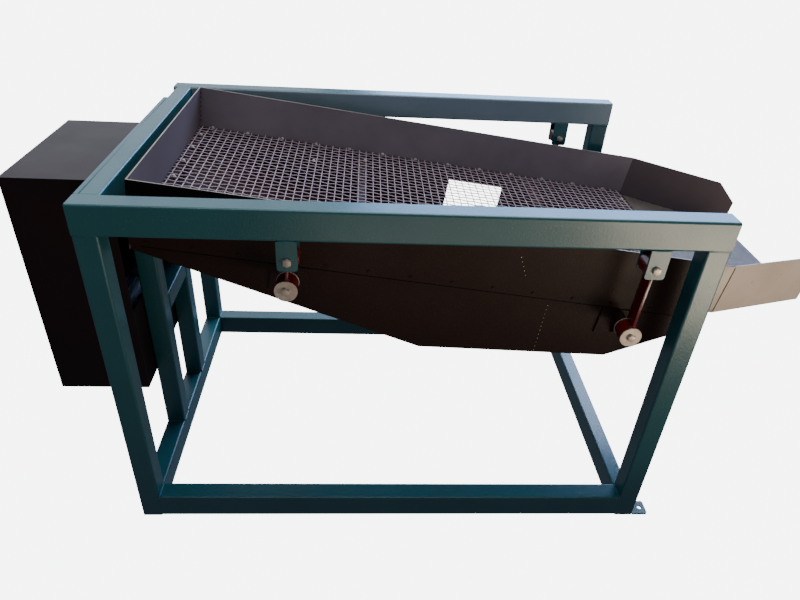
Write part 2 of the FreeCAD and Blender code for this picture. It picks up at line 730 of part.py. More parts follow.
def make_deck():
    """Builds the wire screen, what it lies on, its clips and the seam's screw heads."""
    inner = "(panel_y - ledge_width)"
    ledge_low = "mesh_bottom - ledge_thickness"
    side = in_trough("deck_ledge_near")
    pad(side, "XY", ledge_low, "ledge_thickness",
        box_outline("sheet", "-panel_y", "hopper_end_at - sheet", "-" + inner))
    feed = in_trough("deck_ledge_feed")
    pad(feed, "XY", ledge_low, "ledge_thickness",
        box_outline("sheet", "-" + inner, "sheet + ledge_width", inner))
    end = in_trough("deck_ledge_discharge")
    pad(end, "XY", "-spout_depth + sheet", "mesh_bottom + spout_depth - sheet",
        box_outline("hopper_end_at - sheet", "-panel_y", "trough_length - wire", "panel_y"))
    ledges = gathered("deck_ledges", [side, mirrored("deck_ledge_far", side), feed, end])

    bars = []
    for order in ("first", "second"):
        bar = in_trough("deck_cross_bar_" + order)
        middle = "cross_bar_%s_at" % order
        pad(bar, "XY", "mesh_bottom - cross_bar_depth", "cross_bar_depth",
            box_outline(middle + " - cross_bar_width / 2", "-" + inner,
                        middle + " + cross_bar_width / 2", inner))
        bars.append(bar)

    along = in_trough("screen_wires_long")
    first = "-long_wire_gaps * wire_pitch / 2"
    wire = pad(along, "YZ", "deck_start", "deck_length",
               box_outline(first + " - wire / 2", "-deck_drop - wire",
                           first + " + wire / 2", "-deck_drop"))
    row(along, [wire], "Y", "long_wire_gaps * wire_pitch", "long_wire_gaps")

    across = in_trough("screen_wires_cross")
    wire = pad(across, "XZ", "-panel_y + wire / 2", "2 * panel_y - wire",
               box_outline("first_cross_wire - wire / 2", "mesh_bottom",
                           "first_cross_wire + wire / 2", "mesh_bottom + wire"))
    row(across, [wire], "X", "cross_wire_gaps * wire_pitch", "cross_wire_gaps")

    lines = []
    for label, start, line, axis, length, gaps in (
            ("side", "first_screw", "-side_screw_y", "X",
             "side_screw_gaps * screw_pitch", "side_screw_gaps"),
            ("feed", "first_screw", "-end_screw_gaps * screw_pitch / 2", "Y",
             "end_screw_gaps * screw_pitch", "end_screw_gaps"),
            ("discharge", "last_screw", "-end_screw_gaps * screw_pitch / 2", "Y",
             "end_screw_gaps * screw_pitch", "end_screw_gaps")):
        screws = in_trough("deck_screws_" + label)
        clip = pad(screws, "XY", "-deck_drop", "clip_thickness",
                   box_outline(start + " - clip_width / 2", line + " - clip_width / 2",
                               start + " + clip_width / 2", line + " + clip_width / 2"))
        head = pad(screws, "XY", "-deck_drop + clip_thickness", "screw_head_height",
                   hexagon(start, line, "screw_head"))
        row(screws, [clip, head], axis, length, gaps)
        lines.append(screws)
    lines.append(mirrored("deck_screws_side_far", lines[0]))

    seam = in_trough("seam_screws_near")
    head = pad(seam, "XZ", "-trough_width / 2 - seam_head_height", "seam_head_height",
               hexagon("seam_screw_first_at", "-seam_drop", "seam_head"))
    row(seam, [head], "X", "seam_screw_gaps * seam_screw_pitch", "seam_screw_gaps")
    return [ledges, gathered("deck_cross_bars", bars), along, across,
            gathered("deck_screws", lines),
            gathered("seam_screws", [seam, mirrored("seam_screws_far", seam)])]


def make_eccentric():
    """Builds the eccentric shaft, its bearings and seats, and the rod to the trough."""
    shaft = new_body("eccentric_shaft", ("shaft_x", "0", "shaft_z"))
    pad(shaft, "XZ", "shaft_near_end", "shaft_far_end - shaft_near_end",
        circles=[("0", "0", "shaft_diameter")])
    pad(shaft, "XZ", "drive_line - rod_width / 2 - rod_side_gap", "rod_width + 2 * rod_side_gap",
        circles=[("eccentricity * sin(slope)", "eccentricity * cos(slope)", "journal_diameter")])

    seats = []
    blocks = []
    for side in ("near", "far"):
        line = side + "_post_y"
        depth = "(frame_x - shaft_x - block_height)"
        seat = new_body("bearing_seat_" + side, ("shaft_x + block_height", line, "shaft_z"))
        pad(seat, "YZ", "0", depth,
            box_outline("-leg_size / 2", "-block_length / 2", "leg_size / 2", "block_length / 2"))
        hollow = box_outline("-leg_size / 2 + tube_wall", "-block_length / 2 + tube_wall",
                             "leg_size / 2 - tube_wall", "block_length / 2 - tube_wall")
        cut(seat, "YZ", "tube_wall", depth + " - tube_wall", hollow)
        seats.append(seat)

        block = new_body("bearing_block_" + side, ("shaft_x", line, "shaft_z"))
        half = "block_width / 2"
        pad(block, "XZ", "-" + half, "block_width",
            box_outline("block_height - block_base", "-block_length / 2",
                        "block_height", "block_length / 2"))
        pad(block, "XZ", "-" + half, "block_width", circles=[("0", "0", "block_housing")])
        face = "block_height - block_base"
        pad(block, "XZ", "-" + half, "block_width",
            [("0", "-block_housing / 2"), (face, "-block_housing / 2 - block_flare"),
             (face, "block_housing / 2 + block_flare"), ("0", "block_housing / 2")])
        cut(block, "XZ", "-" + half, "block_width",
            circles=[("0", "0", "shaft_diameter + 2 * running_clearance")])
        blocks.append(block)

    rod = new_body("push_rod", ("journal_x", "drive_line", "journal_z"), "slope")
    half = "rod_width / 2"
    pad(rod, "XZ", "-rod_shank_width / 2", "rod_shank_width",
        box_outline("0", "-rod_shank_height / 2", "rod_length", "rod_shank_height / 2"))
    pad(rod, "XZ", "-" + half, "rod_width", circles=[("0", "0", "rod_big_end")])
    pad(rod, "XZ", "-" + half, "rod_width", circles=[("rod_length", "0", "rod_small_end")])
    cut(rod, "XZ", "-" + half, "rod_width",
        circles=[("0", "0", "journal_diameter + 2 * running_clearance")])
    cut(rod, "XZ", "-" + half, "rod_width", circles=[("rod_length", "0", "rod_eye_bore")])

    bracket = in_trough("rod_bracket")
    ear_near = "(drive_line - rod_width / 2 - rod_side_gap - rod_ear_thickness)"
    ear_far = "(drive_line + rod_width / 2 + rod_side_gap)"
    low = "-rod_pin_drop - rod_ear_radius"
    high = "-rod_pin_drop + rod_ear_radius"
    pad(bracket, "YZ", "-rod_ear_thickness", "rod_ear_thickness",
        box_outline(ear_near + " - rod_ear_radius", low,
                    ear_far + " + rod_ear_thickness + rod_ear_radius", high + " + rod_ear_radius"))
    for ear in (ear_near, ear_far):
        pad(bracket, "XZ", ear, "rod_ear_thickness",
            box_outline("-rod_pin_reach", low, "-rod_ear_thickness", high))
        pad(bracket, "XZ", ear, "rod_ear_thickness",
            circles=[("-rod_pin_reach", "-rod_pin_drop", "2 * rod_ear_radius")])
        cut(bracket, "XZ", ear, "rod_ear_thickness",
            circles=[("-rod_pin_reach", "-rod_pin_drop", "rod_pin + 2 * running_clearance")])

    pin = new_body("rod_pin", ("rod_pin_x", "0", "rod_pin_z"))
    span = "rod_width + 2 * rod_side_gap + 2 * rod_ear_thickness"
    pad(pin, "XZ", ear_near, span + " + rod_ear_thickness", circles=[("0", "0", "rod_pin")])
    pad(pin, "XZ", ear_near + " - rod_ear_thickness", "rod_ear_thickness",
        circles=[("0", "0", "rod_bush")])
    bush = new_body("rod_bush", ("rod_pin_x", "drive_line", "rod_pin_z"))
    reach = "(rod_width / 2 + rod_side_gap - side_clearance)"
    spin(bush, box_outline("-" + reach, "rod_pin / 2 + running_clearance", reach, "rod_bush / 2"))
    return [shaft, gathered("bearing_seats", seats), gathered("bearing_blocks", blocks), rod,
            bracket, pin, bush]


def grooved_pulley(label, at, diameter, bore):
    """Makes a pulley with one groove for each belt."""
    body = new_body(label, at)
    rim = diameter + " / 2"
    foot = rim + " - groove_depth"
    hub = "(%s) / 2" % bore
    half = "(belt_width / 2 + belt_gap)"
    points = [("-pulley_width / 2", hub), ("-pulley_width / 2", rim)]
    for middle in ("-belt_spacing / 2", "belt_spacing / 2"):
        low = "%s - %s" % (middle, half)
        high = "%s + %s" % (middle, half)
        points += [(low, rim), (low, foot), (high, foot), (high, rim)]
    spin(body, points + [("pulley_width / 2", rim), ("pulley_width / 2", hub)])
    return body


def belt_loop(radius_up, radius_down, centre_up, centre_down):
    """Returns the face inside a belt line round two pulleys, in the XZ plane."""
    line = centre_up - centre_down
    lean = math.asin((radius_up - radius_down) / line.Length)
    unit = Vector(line.x, 0, line.z) / line.Length
    square = Vector(unit.z, 0, -unit.x)
    edges = []
    corners = []
    for side in (1, -1):
        normal = square * side * math.cos(lean) - unit * math.sin(lean)
        corners.append((centre_up + normal * radius_up, centre_down + normal * radius_down))
    top = centre_up + unit * radius_up
    bottom = centre_down - unit * radius_down
    edges.append(Part.LineSegment(corners[0][1], corners[0][0]).toShape())
    edges.append(Part.Arc(corners[0][0], top, corners[1][0]).toShape())
    edges.append(Part.LineSegment(corners[1][0], corners[1][1]).toShape())
    edges.append(Part.Arc(corners[1][1], bottom, corners[0][1]).toShape())
    return Part.Face(Part.Wire(edges))


def make_belts():
    """Builds the two closed belts that run between the pulleys."""
    start = value("pulley_line - belt_width / 2")
    up = Vector(value("shaft_x"), start, value("shaft_z"))
    down = Vector(value("motor_x"), start, value("motor_height"))
    inner_up = value("driven_pulley / 2 - groove_depth + belt_gap")
    inner_down = value("motor_pulley / 2 - groove_depth + belt_gap")
    depth = value("belt_depth")
    ring = belt_loop(inner_up + depth, inner_down + depth, up, down)
    ring = ring.cut(belt_loop(inner_up, inner_down, up, down))
    belt = ring.extrude(Vector(0, value("belt_width"), 0))
    shift = value("belt_spacing / 2")
    shapes = [belt.translated(Vector(0, -shift, 0)), belt.translated(Vector(0, shift, 0))]
    belts = doc.addObject("Part::Feature", "drive_belts")
    belts.Label = "drive_belts"
    belts.Shape = Part.makeCompound(shapes)
    belts.Placement = FreeCAD.Placement()
    return belts


def make_drive():
    """Builds the pulleys, motor and the plate that the motor is bolted to."""
    driven = grooved_pulley("driven_pulley", ("shaft_x", "pulley_line", "shaft_z"),
                            "driven_pulley", "shaft_diameter + 2 * running_clearance")
    small = grooved_pulley("motor_pulley", ("motor_x", "pulley_line", "motor_height"),
                           "motor_pulley", "motor_shaft + 2 * running_clearance")

    motor = new_body("motor", ("motor_x", "drive_line", "motor_height"))
    half = "motor_length / 2"
    radius = "motor_diameter / 2"
    core = radius + " - motor_rib_height"
    spin(motor, [("-" + half, "0"), ("-" + half, radius), ("motor_bell - " + half, radius),
                 ("motor_bell - " + half, core), (half + " - motor_cowl", core),
                 (half + " - motor_cowl", radius), (half + " - motor_cowl_taper", radius),
                 (half, radius + " - motor_cowl_taper"), (half, "0")])
    rib = pad(motor, "XZ", "motor_bell - " + half, "motor_length - motor_bell - motor_cowl",
              box_outline(core + " - motor_rib_root", "-motor_rib / 2", radius, "motor_rib / 2"))
    ribs = motor.newObject("PartDesign::PolarPattern", "motor_ribs")
    ribs.Originals = [rib]
    ribs.Axis = (origin_part(motor, "Y_Axis"), [""])
    ribs.Angle = 360
    ribs.setExpression("Occurrences", bound("motor_rib_count"))
    motor.Tip = ribs
    doc.recompute()
    for start in ("motor_foot_inset - " + half, half + " - motor_foot_inset - motor_foot_length"):
        pad(motor, "XZ", start, "motor_foot_length",
            box_outline("motor_foot_root", "-motor_foot_width / 2",
                        "motor_centre_height", "motor_foot_width / 2"))
    tip = "(pulley_line - pulley_width / 2 + motor_shaft_gap - drive_line)"
    pad(motor, "XZ", tip, "-%s - %s" % (half, tip), circles=[("0", "0", "motor_shaft")])

    plate = new_body("drive_mount_plate",
                     ("frame_x - guard_sheet - mount_plate_thickness", "drive_line", "motor_height"))
    pad(plate, "YZ", "0", "mount_plate_thickness",
        box_outline("-mount_plate_width / 2", "-mount_plate_height / 2",
                    "mount_plate_width / 2", "mount_plate_height / 2"))
    return [driven, small, motor, plate, make_belts()]


def make_guard():
    """Builds the sheet guard that stands off the feed end round the belt drive."""
    corner = ("frame_x - guard_depth", "guard_near_y", "guard_bottom")
    height = "(guard_top - guard_bottom)"
    plates = []
    for label, plane, start, length, outline in (
            ("outer", "YZ", "0", "guard_sheet",
             box_outline("0", "0", "guard_width", height)),
            ("near", "XZ", "0", "guard_sheet",
             box_outline("guard_sheet", "0", "guard_depth", height)),
            ("far", "XZ", "guard_width - guard_sheet", "guard_sheet",
             box_outline("guard_sheet", "0", "guard_depth", height)),
            ("top", "XY", height + " - guard_sheet", "guard_sheet",
             box_outline("guard_sheet", "guard_sheet", "guard_depth", "guard_width - guard_sheet")),
            ("bottom", "XY", "0", "guard_sheet",
             box_outline("guard_sheet", "guard_sheet", "guard_depth", "guard_width - guard_sheet"))):
        plate = new_body("guard_panel_" + label, corner)
        pad(plate, plane, start, length, outline)
        plates.append(plate)
    inner = new_body("guard_inner_panel", ("frame_x - guard_sheet", "guard_near_y", "guard_bottom"))
    pad(inner, "YZ", "0", "guard_sheet",
        box_outline("guard_sheet", "guard_sheet", "guard_width - guard_sheet",
                    "guard_sill - guard_bottom"))
    return [gathered("guard_panels", plates), inner]


def check_and_write(pieces):
    """Stops on any failed object or shape, then writes one file for each piece."""
    doc.recompute()
    for item in doc.Objects:
        if "Invalid" in item.State or "Error" in item.State:
            raise RuntimeError("%s did not build: %s" % (item.Label, item.State))
    for piece in pieces:
        if piece.Shape.isNull() or not piece.Shape.isValid() or not piece.Shape.Solids:
            raise RuntimeError("%s has no valid solid" % piece.Label)
    os.makedirs("parts", exist_ok=True)
    for piece in pieces:
        piece.Shape.exportStep(os.path.join("parts", piece.Label + ".step"))
        print(piece.Label, len(piece.Shape.Solids), round(piece.Shape.Volume))


PIECES = make_frame() + make_hangers()
PIECES += make_rocker("feed", "feed_arm", "feed_tilt", "lower_pivot_clearance")
PIECES += make_rocker("discharge", "discharge_arm", "discharge_tilt", "lower_pivot_clearance")
PIECES += make_pin_brackets() + make_trough() + make_deck()
PIECES += make_eccentric() + make_drive() + make_guard()
check_and_write(PIECES)
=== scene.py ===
"""Dresses the swinging coal screen: its enamel, woven wire, rocker arms, welds, bolts and guard."""
import json
import logging
import math
from dataclasses import dataclass, replace
from enum import Enum
from typing import Iterable, Optional, Union

import bmesh
import bpy
from bmesh.types import BMesh
from bpy.types import NodeSocket, NodeTree
from mathutils import Matrix, Vector


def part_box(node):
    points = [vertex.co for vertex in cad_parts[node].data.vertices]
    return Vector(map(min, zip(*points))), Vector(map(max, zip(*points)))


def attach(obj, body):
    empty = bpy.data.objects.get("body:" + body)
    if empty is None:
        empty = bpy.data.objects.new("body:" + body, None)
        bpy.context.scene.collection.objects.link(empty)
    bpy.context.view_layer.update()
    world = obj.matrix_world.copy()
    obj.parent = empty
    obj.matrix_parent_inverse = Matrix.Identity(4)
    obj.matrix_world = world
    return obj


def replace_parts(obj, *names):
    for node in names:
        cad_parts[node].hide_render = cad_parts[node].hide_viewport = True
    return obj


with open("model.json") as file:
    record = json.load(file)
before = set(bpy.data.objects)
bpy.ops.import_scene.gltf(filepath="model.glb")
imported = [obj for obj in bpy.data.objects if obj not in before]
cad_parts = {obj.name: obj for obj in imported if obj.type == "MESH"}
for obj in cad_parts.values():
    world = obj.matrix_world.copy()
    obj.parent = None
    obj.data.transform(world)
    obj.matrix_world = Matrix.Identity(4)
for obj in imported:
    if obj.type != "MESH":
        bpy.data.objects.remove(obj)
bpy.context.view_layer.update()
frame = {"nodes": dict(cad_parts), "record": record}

LOG = logging.getLogger("coal_screen")
MM = 0.001
SIDES = {"near": -1.0, "far": 1.0}
# Pivot distance in metres and tilt in degrees of the arms at each end
ARM_SETS = {"feed": (0.0863, 5.0), "discharge": (0.2082, 2.75)}
CORNERS = [(end, side) for end in ARM_SETS for side in SIDES]
# Noise keeps near its middle, so these spans of it are stretched to a full blend
TONE_SPAN = (0.35, 0.65)
# The second span blends the paler film of painted light on inner faces
PAINTED_LIGHT_SPAN = (0.30, 0.70)
# How thinly and how fully the film of painted light covers a face, and how soft a speck's rim is
PAINTED_LIGHT_COVER = (0.72, 1.0)
SPECK_EDGE = 0.03
# How strong the finer layers of a noise are and how many it has
NOISE_ROUGHNESS = 0.55
PATCH_DETAIL = 4.0
GRAIN_DETAIL = 3.0
GLOSS_DETAIL = 5.0
SPECK_DETAIL = 6.0
# The gloss changes over patches this many times smaller than the tone's
GLOSS_FINER = 4
# A weld bead: its ripple's length in radii, and its share of full width at the very ends and
# between two ripples
BEAD_RIPPLE = 0.85
BEAD_END = 0.45
BEAD_NARROW = 0.82
BEAD_SIDES = 8
BEAD_LEAST_CUTS = 4
# Edges that turn less than these radians stay square, and points this near are one
SHARP_TURN = 0.6
SAME_POINT = 1e-7
# Edges that turn more than these degrees look sharp: on sheet, on bolts, on beads and wires
SHEET_DEGREES = 38.0
BOLT_DEGREES = 30.0
ROUND_DEGREES = 60.0


class Along(Enum):
    """The row axis that a round part or a bolt is turned to."""

    Y = Matrix.Rotation(math.radians(90), 4, "X")
    Z = Matrix.Identity(4)


def linear(code: str) -> tuple[float, float, float, float]:
    """Turns an sRGB hex colour into the linear colour that the shader takes.

    Args:
        code: Six hex digits after a hash sign.

    Returns:
        Red, green, blue and an alpha of one.
    """
    parts = [int(code[start:start + 2], 16) / 255 for start in (1, 3, 5)]
    bent = [part / 12.92 if part <= 0.04045 else ((part + 0.055) / 1.055) ** 2.4 for part in parts]
    return (bent[0], bent[1], bent[2], 1.0)


def add_node(tree: NodeTree, kind: str, values: Optional[dict] = None,
             links: Optional[dict] = None) -> bpy.types.Node:
    """Adds one shader node.

    Args:
        tree: The material's node tree.
        kind: The node's type name.
        values: Settings and socket values by name or number.
        links: Output sockets that feed this node's inputs, by name or number.

    Returns:
        The new node.
    """
    made = tree.nodes.new(kind)
    for name, value in (values or {}).items():
        if isinstance(name, str) and hasattr(made, name):
            setattr(made, name, value)
        else:
            made.inputs[name].default_value = value
    for name, source in (links or {}).items():
        tree.links.new(source, made.inputs[name])
    return made


def empty_tree(owner: Union[bpy.types.Material, bpy.types.World]) -> NodeTree:
    """Switches the nodes of a material or world on and clears them."""
    owner.use_nodes = True
    owner.node_tree.nodes.clear()
    return owner.node_tree


def add_object(name: str, data: bpy.types.ID) -> bpy.types.Object:
    """Puts a mesh, curve, light or camera into the scene."""
    made = bpy.data.objects.new(name, data)
    bpy.context.scene.collection.objects.link(made)
    return made


@dataclass(frozen=True)
class Finish:
    """What every surface here shares: two tones, uneven gloss and a fine relief.

    The tones drift over broad patches as a sprayed or rolled coat does, specks of dust or bare
    metal may lie on them, and the relief is the grain that catches the light.
    """

    name: str
    colour: str
    second: str
    patch_mm: float
    roughness: float
    roughness_spread: float
    grain_mm: float
    grain_depth_mm: float
    metallic: float = 0.0
    specular: float = 0.5
    coat: float = 0.0
    coat_roughness: float = 0.1
    speck: str = ""
    speck_mm: float = 6.0
    speck_share: float = 0.0
    # A paler colour painted on faces nearer the middle line: painted light on inner faces
    inside: str = ""
    inside_half_mm: float = 398.0
    stretch: tuple[float, float, float] = (1.0, 1.0, 1.0)

    def material(self) -> bpy.types.Material:
        """Builds the finish once and returns its material."""
        known = bpy.data.materials.get(self.name)
        if known:
            return known
        made = bpy.data.materials.new(self.name)
        tree = empty_tree(made)
        place = add_node(tree, "ShaderNodeTexCoord").outputs["Object"]
        spread = add_node(tree, "ShaderNodeMapping", {"Scale": self.stretch},
                          {"Vector": place}).outputs["Vector"]
        patches = self.noise(tree, place, self.patch_mm, PATCH_DETAIL)
        tone = add_node(tree, "ShaderNodeMapRange",
                        {"From Min": TONE_SPAN[0], "From Max": TONE_SPAN[1]}, {"Value": patches})
        colour = self.mix(tree, tone.outputs["Result"], self.colour, self.second)
        if self.speck_share > 0:
            colour = self.specked(tree, place, colour)
        # Inner faces get a paler film of painted light
        if self.inside:
            colour = self.paint_inner_light(tree, place, patches, colour)
        fine = self.noise(tree, spread, self.grain_mm, GRAIN_DETAIL)
        drift = self.noise(tree, spread, self.patch_mm / GLOSS_FINER, GLOSS_DETAIL)
        gloss = add_node(tree, "ShaderNodeMapRange",
                         {"To Min": self.roughness - self.roughness_spread,
                          "To Max": self.roughness + self.roughness_spread}, {"Value": drift})
        relief = add_node(tree, "ShaderNodeBump",
                          {"Strength": 1.0, "Distance": self.grain_depth_mm * MM},
                          {"Height": fine})
        shader = add_node(tree, "ShaderNodeBsdfPrincipled",
                          {"Metallic": self.metallic, "Specular IOR Level": self.specular,
                           "Coat Weight": self.coat, "Coat Roughness": self.coat_roughness},
                          {"Base Color": colour, "Roughness": gloss.outputs["Result"],
                           "Normal": relief.outputs["Normal"]})
        add_node(tree, "ShaderNodeOutputMaterial", {}, {"Surface": shader.outputs["BSDF"]})
        return made

    def noise(self, tree: NodeTree, place: NodeSocket, size_mm: float,
              detail: float) -> NodeSocket:
        """Adds noise.

        Args:
            tree: The material's node tree.
            place: The coordinates it reads.
            size_mm: The size of its blobs.
            detail: How many finer layers lie on it.

        Returns:
            The socket with its value.
        """
        return add_node(tree, "ShaderNodeTexNoise",
                        {"Scale": 1.0 / (size_mm * MM), "Detail": detail,
                         "Roughness": NOISE_ROUGHNESS}, {"Vector": place}).outputs["Fac"]

    def mix(self, tree: NodeTree, share: NodeSocket, under: Union[str, NodeSocket],
            over: str) -> NodeSocket:
        """Blends a colour over another.

        Args:
            tree: The material's node tree.
            share: How much of the upper colour shows, from 0 to 1.
            under: The lower colour, as hex or from a socket.
            over: The upper colour, as hex.

        Returns:
            The socket with the blended colour.
        """
        values = {"data_type": "RGBA", 7: linear(over)}
        links = {0: share}
        if isinstance(under, str):
            values[6] = linear(under)
        else:
            links[6] = under
        return add_node(tree, "ShaderNodeMix", values, links).outputs[2]

    def specked(self, tree: NodeTree, place: NodeSocket, under: NodeSocket) -> NodeSocket:
        """Scatters small specks of dust or bare metal over a colour.

        Args:
            tree: The material's node tree.
            place: The coordinates it reads.
            under: The colour beneath.

        Returns:
            The socket with the specked colour.
        """
        dots = self.noise(tree, place, self.speck_mm, SPECK_DETAIL)
        edge = 1.0 - self.speck_share
        cut = add_node(tree, "ShaderNodeMapRange",
                       {"From Min": edge, "From Max": edge + SPECK_EDGE}, {"Value": dots})
        return self.mix(tree, cut.outputs["Result"], under, self.speck)

    def paint_inner_light(self, tree: NodeTree, place: NodeSocket, patches: NodeSocket,
               under: NodeSocket) -> NodeSocket:
        """Paints a paler film of painted light on what lies nearer the middle line than a given
        distance.

        Args:
            tree: The material's node tree.
            place: The coordinates it reads.
            patches: Broad noise that thins the film unevenly.
            under: The colour beneath.

        Returns:
            The socket with the colour under its film of painted light.
        """
        across = add_node(tree, "ShaderNodeSeparateXYZ", {}, {"Vector": place}).outputs["Y"]
        size = add_node(tree, "ShaderNodeMath", {"operation": "ABSOLUTE"}, {0: across})
        within = add_node(tree, "ShaderNodeMath",
                          {"operation": "LESS_THAN", 1: self.inside_half_mm * MM},
                          {0: size.outputs["Value"]})
        cover = add_node(tree, "ShaderNodeMapRange",
                         {"From Min": PAINTED_LIGHT_SPAN[0], "From Max": PAINTED_LIGHT_SPAN[1],
                          "To Min": PAINTED_LIGHT_COVER[0], "To Max": PAINTED_LIGHT_COVER[1]},
                         {"Value": patches})
        share = add_node(tree, "ShaderNodeMath", {"operation": "MULTIPLY"},
                         {0: within.outputs["Value"], 1: cover.outputs["Result"]})
        return self.mix(tree, share.outputs["Value"], under, self.inside)


# No finish has a slot's name, because the frame brings its own materials under those

# Alkyd machine enamel rolled on tube: glossy, with a fine orange peel that breaks up reflections
FRAME_PAINT = Finish("alkyd_enamel_blue_green", "#225A60", "#1C5157", 340, 0.32, 0.06, 6.0, 0.45,
                     coat=0.2, coat_roughness=0.2, speck="#34676B", speck_mm=5, speck_share=0.38)
# Hammer-finish enamel sprayed on sheet: nearly black and dimpled, with little shine
TROUGH_PAINT = Finish("hammer_enamel_brown", "#2C1B17", "#241512", 260, 0.42, 0.08, 5.0, 0.45,
                      specular=0.13, speck="#3E2D25", speck_mm=4, speck_share=0.38)
# The same enamel on the upper sheets, whose inner faces carry a paler grey film of painted light
TROUGH_PAINTED_LIGHT = Finish("hammer_enamel_painted_light_inside", "#2C1B17", "#241512", 260, 0.50, 0.08, 4.0,
                      0.12, specular=0.05, speck="#3C2A22", speck_mm=3, speck_share=0.34,
                      inside="#8F848A")
# The near panel: dark and dimpled outside, with the paler film of painted light inside
TROUGH_NEAR = replace(TROUGH_PAINT, name="hammer_enamel_near_panel", inside="#8F848A")
# A dimmer film of painted light on the feed end wall and the spout's far wall, offsetting the lamp
# light they catch, so the dark enamel shows more
TROUGH_DIM_PAINTED_LIGHT = replace(TROUGH_PAINTED_LIGHT, name="hammer_enamel_dim_painted_light_inside", inside="#655A5E")
# The same enamel on the far rail, whose face toward the trough carries a paler grey film of painted
# light
FRAME_PAINTED_LIGHT = replace(FRAME_PAINT, name="alkyd_enamel_painted_light_inner_face", inside="#8496A0",
                      inside_half_mm=453.0)
# Satin enamel sprayed on folded sheet: almost black, smooth, with a broad soft sheen
GUARD_PAINT = Finish("satin_enamel_dark_brown", "#2A1615", "#221110", 420, 0.38, 0.05, 3.0, 0.06,
                     specular=0.2)
# Sheet rubbed bare by coal along the spout's bottom: a dull grey
SPOUT_WORN = Finish("rubbed_sheet_grey", "#6E6663", "#605957", 90, 0.50, 0.10, 6.0, 0.25,
                    specular=0.12, speck="#8F8994", speck_mm=9, speck_share=0.36)
# Painted glare on the spout's outer side: a warm beige reflection of bright light, half matt,
# slightly streaked
SPOUT_PAINTED_GLARE = Finish("painted_glare_beige", "#C7B7A8", "#B9A898", 160, 0.46, 0.06, 4.0, 0.12,
                       speck="#A99888", speck_mm=14, speck_share=0.34)
# Deep red synthetic enamel brushed on the rocker arms: glossy, darker in places
ARM_PAINT = Finish("synthetic_enamel_red", "#6C100E", "#560C0B", 60, 0.26, 0.05, 4.0, 0.10,
                   coat=0.4)
# Zinc electroplate on bolts and washers: warm pale metal with faint cloudy patches
ZINC = Finish("zinc_electroplate", "#C8BAAB", "#AB9E92", 14, 0.42, 0.08, 1.2, 0.04, metallic=0.5)
# Zinc on the deck's small screws: pale, cloudy, with little shine
DULL_ZINC = Finish("zinc_plate_dulled", "#CDC4C0", "#AFA5A2", 10, 0.50, 0.08, 1.2, 0.04,
                   metallic=0.3)
# Hot-dip galvanised wire under coal dust: dull lilac grey with a slightly lumpy coat
GALVANISED = Finish("hot_dipped_zinc", "#BBA8B5", "#A5939F", 30, 0.62, 0.10, 2.5, 0.08,
                    specular=0.1)
# Turned steel left bare: fine rings from the tool along the axis
TURNED_STEEL = Finish("bare_turned_steel", "#9A9A9E", "#7E7E84", 40, 0.28, 0.06, 1.0, 0.03,
                      metallic=1.0, stretch=(1.0, 6.0, 1.0))
# Grey cast iron: grainy, half matt, darker in the pits
CAST_IRON = Finish("grey_cast_iron", "#4A4B4E", "#3A3B3E", 30, 0.55, 0.08, 3.0, 0.25, metallic=0.6)
# Grey-blue motor enamel over a ribbed casting
MOTOR_PAINT = Finish("motor_enamel_grey_blue", "#3E5568", "#34495A", 80, 0.40, 0.06, 4.0, 0.12,
                     coat=0.2, coat_roughness=0.3)
# Moulded natural rubber: matt black with a bloom of grey
RUBBER = Finish("moulded_rubber", "#17161A", "#222126", 20, 0.62, 0.08, 2.0, 0.08)
# Black polyethylene plug for a tube's end
PLUG = Finish("polyethylene_plug", "#121314", "#1A1B1C", 30, 0.48, 0.05, 2.0, 0.05)
# Weld metal brushed over with the frame's enamel: same tone, glossier on the ripples
FRAME_WELD = Finish("painted_weld_blue_green", "#28606A", "#2E6871", 12, 0.32, 0.06, 3.0, 0.20,
                    specular=0.42, coat=0.3, coat_roughness=0.15)
# Weld metal under the trough's enamel, with paler tops where the coat is thin
TROUGH_WELD = Finish("painted_weld_brown", "#3A2C2A", "#544640", 14, 0.38, 0.08, 3.0, 0.25,
                     specular=0.3)
# Pale strips on the top edges: painted highlight where the edges catch the light, slightly shiny
EDGE_HIGHLIGHT_PAINT = Finish("pale_edge_painted_highlight", "#A89E96", "#8E857F", 25, 0.44, 0.10, 3.0, 0.05)
# Near-black strip along the seam, painted shade in the step there: matt and darker than the enamel
PAINTED_SEAM_SHADE = Finish("painted_seam_shade_black", "#090707", "#0C0909", 20, 0.60, 0.08, 3.0, 0.10,
                 specular=0.05)
# Small drops of weld along a stitched butt joint, coloured pale to paint the glints they catch
WELD_SPOT_GLINT = Finish("pale_weld_spot_glint", "#C9B59C", "#A08D78", 6, 0.40, 0.08, 1.0, 0.04, metallic=0.3)

SLOT_FINISH = {
    "frame_paint": FRAME_PAINT, "trough_paint": TROUGH_PAINT, "guard_paint": GUARD_PAINT,
    "spout_sheet": SPOUT_WORN, "arm_paint": ARM_PAINT, "motor_paint": MOTOR_PAINT,
    "zinc_plate": ZINC, "galvanised_wire": GALVANISED, "turned_steel": TURNED_STEEL,
    "cast_iron": CAST_IRON, "bush_rubber": RUBBER, "belt_rubber": RUBBER, "cap_plastic": PLUG,
}
# Nodes whose finish paints light: paler inner faces, and glare on the near spout wall
NODE_FINISH = {"spout_wall_near": SPOUT_PAINTED_GLARE, "spout_wall_far": TROUGH_DIM_PAINTED_LIGHT,
               "top_rail_far": FRAME_PAINTED_LIGHT, "side_panel_near": TROUGH_NEAR,
               "side_panel_far": TROUGH_PAINTED_LIGHT, "feed_end_wall": TROUGH_DIM_PAINTED_LIGHT}


